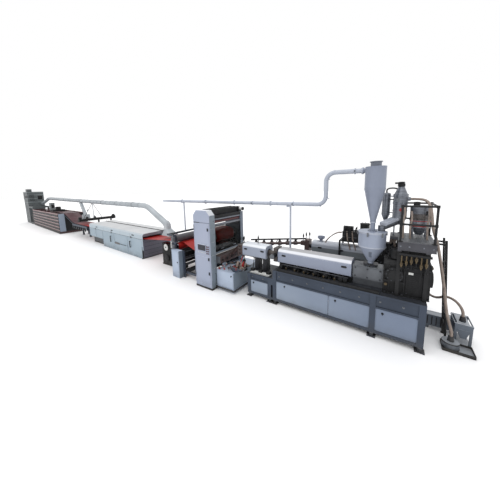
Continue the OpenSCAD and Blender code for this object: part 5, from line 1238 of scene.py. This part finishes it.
# Extraction duct: bellows at the hood, seam rings and struts
def duct_region():
    ribs, rings, dark, skin = (Piece() for _ in range(4))
    mouth, start = Vector((-8875, 0, 1600)), Vector((-10930, DUCT_Y, 2310))
    stop, foot = Vector((-28600, DUCT_Y, 2510)), Vector((-31200, DUCT_Y, 1980))
    neck, end = Vector((-8875, 0, 1440)), Vector((-31380, DUCT_Y, 1980))
    line = rounded([neck, mouth, start, stop, foot, end], (140, 420, 420, 170))
    skin.sweep(line, 250, 32)
    skin.rod((-19177, DUCT_Y, 1350), (-19977, DUCT_Y, 2412), 200, 28)
    skin.prism([(-19377, 1130), (-18977, 1130), (-19047, 1450), (-19307, 1450)], "y", (100, 500))
    skin.rod((-17720, DUCT_Y, 1300), (-17720, DUCT_Y, 2280), 40, 14)
    flexible = line[:12]
    for a, b in zip(flexible, flexible[1:]):
        count = max(1, round((b - a).length / 92))
        for k in range(count):
            ribs.ring(a.lerp(b, k / count), b - a, 246, 46, 36, 8)
    count = int((start - stop).length / 620)
    for k in range(1, count):
        spot = start.lerp(stop, k / count)
        rings.band(spot, stop - start, 250, 26, 7)
        rings.band(spot + Vector((34, 0, 0)), stop - start, 250, 10, 4)
        if k % 6 == 2:
            dark.ring(spot, stop - start, 262, 14, 36, 6)
    for t in (0.2, 0.4, 0.6, 0.8):
        rings.band(stop.lerp(foot, t), foot - stop, 250, 24, 7)
    rings.band((-31360, DUCT_Y, 1980), ALONG, 250, 40, 20)
    low, high = Vector((-19177, DUCT_Y, 1350)), Vector((-19977, DUCT_Y, 2317))
    for t in (0.18, 0.36, 0.54, 0.72, 0.9):
        rings.band(low.lerp(high, t), high - low, 200, 24, 8)
    rings.border((-9000, -8500), (-200, 200), 6, (1176, 1226))
    rings.border((-19377, -18977), (100, 500), 6, (1126, 1166))
    for x, y in ((-17780, -260), (-17660, 760)):
        dark.rod((x, y, 1300), (x, DUCT_Y, 2280), 26, 10)
    dark.disc((-17780, 20, 1840), (0, -1, 0.6), 90, 40, 20)
    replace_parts(skin.done("extraction_duct_skin", DUCT), "extraction_duct")
    ribs.done("duct_bellows", FLEX)
    rings.done("duct_rings", DUCT)
    dark.done("duct_hangers", BLACK)


# Cutter, stacker and end tower
def far_region():
    dark, steel, shelf, panel, tower, red, glint, bands = (Piece() for _ in range(8))
    for y in (60, 380):
        for x in (-19395, -18045, -16785):
            dark.box((x - 80, x + 80), (y - 20, y + 110), (0, 20))
    for k in range(7):
        x = -19300 + 380 * k
        dark.box((x, x + 120), (-500, -470), (560, 760))
        steel.disc((x + 60, -505, 660), FRONT, 80, 12, 20)
    dark.box((-17880, -17560), (-600, 1400), (1150, 1180))
    steel.rod((-17855, -560, 1240), (-17855, 1400, 1240), 40, 12)
    for y in (-420, -40, 400):
        dark.box((-17900, -17840), (y - 70, y + 70), (1150, 1380))
        steel.rod((-17870, y, 1380), (-17870, y, 1450), 46, 16)
    for k in range(5):
        dark.ring((-17720, 1420 + 34 * k, 1240), BACK, 244, 14, 32, 6)
    dark.box((-17790, -17650), (1440, 1560), (1350, 1430))
    dark.turned((-17720, -470, 1300), UP, [(1, 0), (90, 0), (90, 110), (70, 130), (1, 132)], 24)
    for k in range(7):
        z = 240 + k * 157.14
        for i in range(5):
            for j in range(3):
                lay = z + 70 + 14 * j
                x = -29350 + 1640 * i + chance.uniform(-30, 30)
                red.box((x, x + 1400), (-600 + chance.uniform(-25, 25), 600), (lay, lay + 12))
    # Painted shade and highlight: on each side a dark strip the length of the stack fills the shade between
    # the shelf fronts, and pale strips on the shelf edges are a painted highlight.
    for y in (-797, 797):
        dark.box(STACK, (y - 8, y + 8), (0, 1480))
        shelf.stack(6, 240, STACK, (y - 15, y + 15), (180, 250))
        glint.stack(6, 240, STACK, (y - 20, y + 20), (250, 284))
    panel.box((-21242, -21228), (-780, -430), (150, 1480))
    panel.stack(5, 250, (-21228, -21222), (-750, -460), (220, 420))
    dark.box((-21242, -21228), (-430, 780), (150, 1400))
    for i in range(5):
        x = -29640 + i * 2077.5
        for y in (-780, 690):
            dark.box((x - 30, x + 120), (y - 30, y + 120), (0, 16))
    dark.box((-24700, -23900), (-500, 300), (1500, 1640))
    bands.box((-26520, -26080), (-170, 120), (1490, 2120))
    bands.box((-26540, -26060), (-190, 140), (2120, 2150))
    dark.box((-26400, -26240), (-176, -170), (1800, 2000))
    dark.box((-26080, -26074), (-110, 60), (1700, 2000))
    dark.turned((-24100, -100, 1640), UP, [(1, 0), (180, 0), (180, 220), (150, 250), (1, 250)], 28)
    for x0, x1 in ((-33270, -32340), (-32320, -31390)):
        rim(tower, (x0, x1), (160, 2030), -780, -1)
        rim(tower, (x0, x1), (2070, 3180), -780, -1)
    dark.stack(7, 70, (-33100, -32500), (-786, -780), (2500, 2530))
    dark.box((-32250, -31600), (-785, -780), (2560, 2900))
    for y0, y1 in ((-765, -180), (-160, 425)):
        tower.box((-31380, -31372), (y0, y1), (2080, 3170))
        tower.box((-31372, -31366), (y0 + 40, y1 - 40), (2120, 3130))
        tower.box((-31380, -31374), (y0, y1), (170, 1560))
    dark.stack(8, 80, (-31368, -31362), (-660, -280), (2300, 2335))
    dark.box((-31368, -31362), (-40, 320), (2420, 2800))
    tower.box((-33290, -31370), (-788, 448), (3188, 3206))
    for z in (2120, 2480, 2860, 3120):
        bands.box((-33284, -31376), (-786, -776), (z, z + 60))
        bands.box((-31384, -31362), (-780, 440), (z, z + 60))
    bands.box((-33288, -33000), (-786, -776), (100, 2060))
    dark.stack(4, 55, (-32200, -31480), (-726, -720), (3240, 3262))
    for k in range(3):
        dark.box((-31200 + 420 * k, -30860 + 420 * k), (-700, 300), (0, 900 + 160 * (k % 2)))
    dark.done("far_dark_parts_and_shade_strip", BLACK, bevel=2.0)
    steel.done("far_steel_parts", STEEL)
    shelf.done("shelf_edge_bars", SHELF, bevel=4.0)
    glint.done("shelf_edge_glints", SHELF_GLINT, bevel=3.0)
    panel.done("stacker_end_panel", PANEL, bevel=3.0)
    tower.done("tower_panels", TOWER, bevel=3.0)
    bands.done("tower_bands", TOWER_BAND, bevel=3.0)
    red.done("cut_sheets", SHELF)


REGIONS = (bed_region, guard_region, blower_region, drive_region, hopper_region, loader_region, bin_region,
           rear_region, die_region, calender_region, haul_region, oven_region, duct_region, far_region)
for region in REGIONS:
    region()


# Floor and light
def stage():
    data = bpy.data.meshes.new("floor")
    half = 150.0
    corners = [(-half, -half, 0), (half, -half, 0), (half, half, 0), (-half, half, 0)]
    data.from_pydata(corners, [], [(0, 1, 2, 3)])
    floor = bpy.data.objects.new("floor", data)
    bpy.context.scene.collection.objects.link(floor)
    n = Nodes("pale_floor")
    n.join(n.mix(n.noise(0.4, 3.0), linear("f4f4f5"), linear("eeeeef")), n.shader.inputs["Base Color"])
    n.shader.inputs["Roughness"].default_value = 0.9
    data.materials.append(n.material)
    floor.location.z = -0.002
    world = bpy.data.worlds.new("studio")
    bpy.context.scene.world = world
    world.use_nodes = True
    sky = world.node_tree.nodes["Background"]
    sky.inputs["Color"].default_value = (1.0, 1.0, 1.0, 1.0)
    sky.inputs["Strength"].default_value = 1.0
    lamps = (("key", (0.30, 0.55, -1.0), 0.6, 70), ("top", (0.05, -0.15, -1.0), 0.8, 110))
    for name, aim, power, spread in lamps:
        lamp = bpy.data.lights.new(name, "SUN")
        lamp.energy = power
        lamp.angle = math.radians(spread)
        light = bpy.data.objects.new(name, lamp)
        light.rotation_mode = "QUATERNION"
        light.rotation_quaternion = Vector(aim).to_track_quat("-Z", "Y")
        bpy.context.scene.collection.objects.link(light)
    bpy.context.scene.view_settings.view_transform = "Standard"


stage()
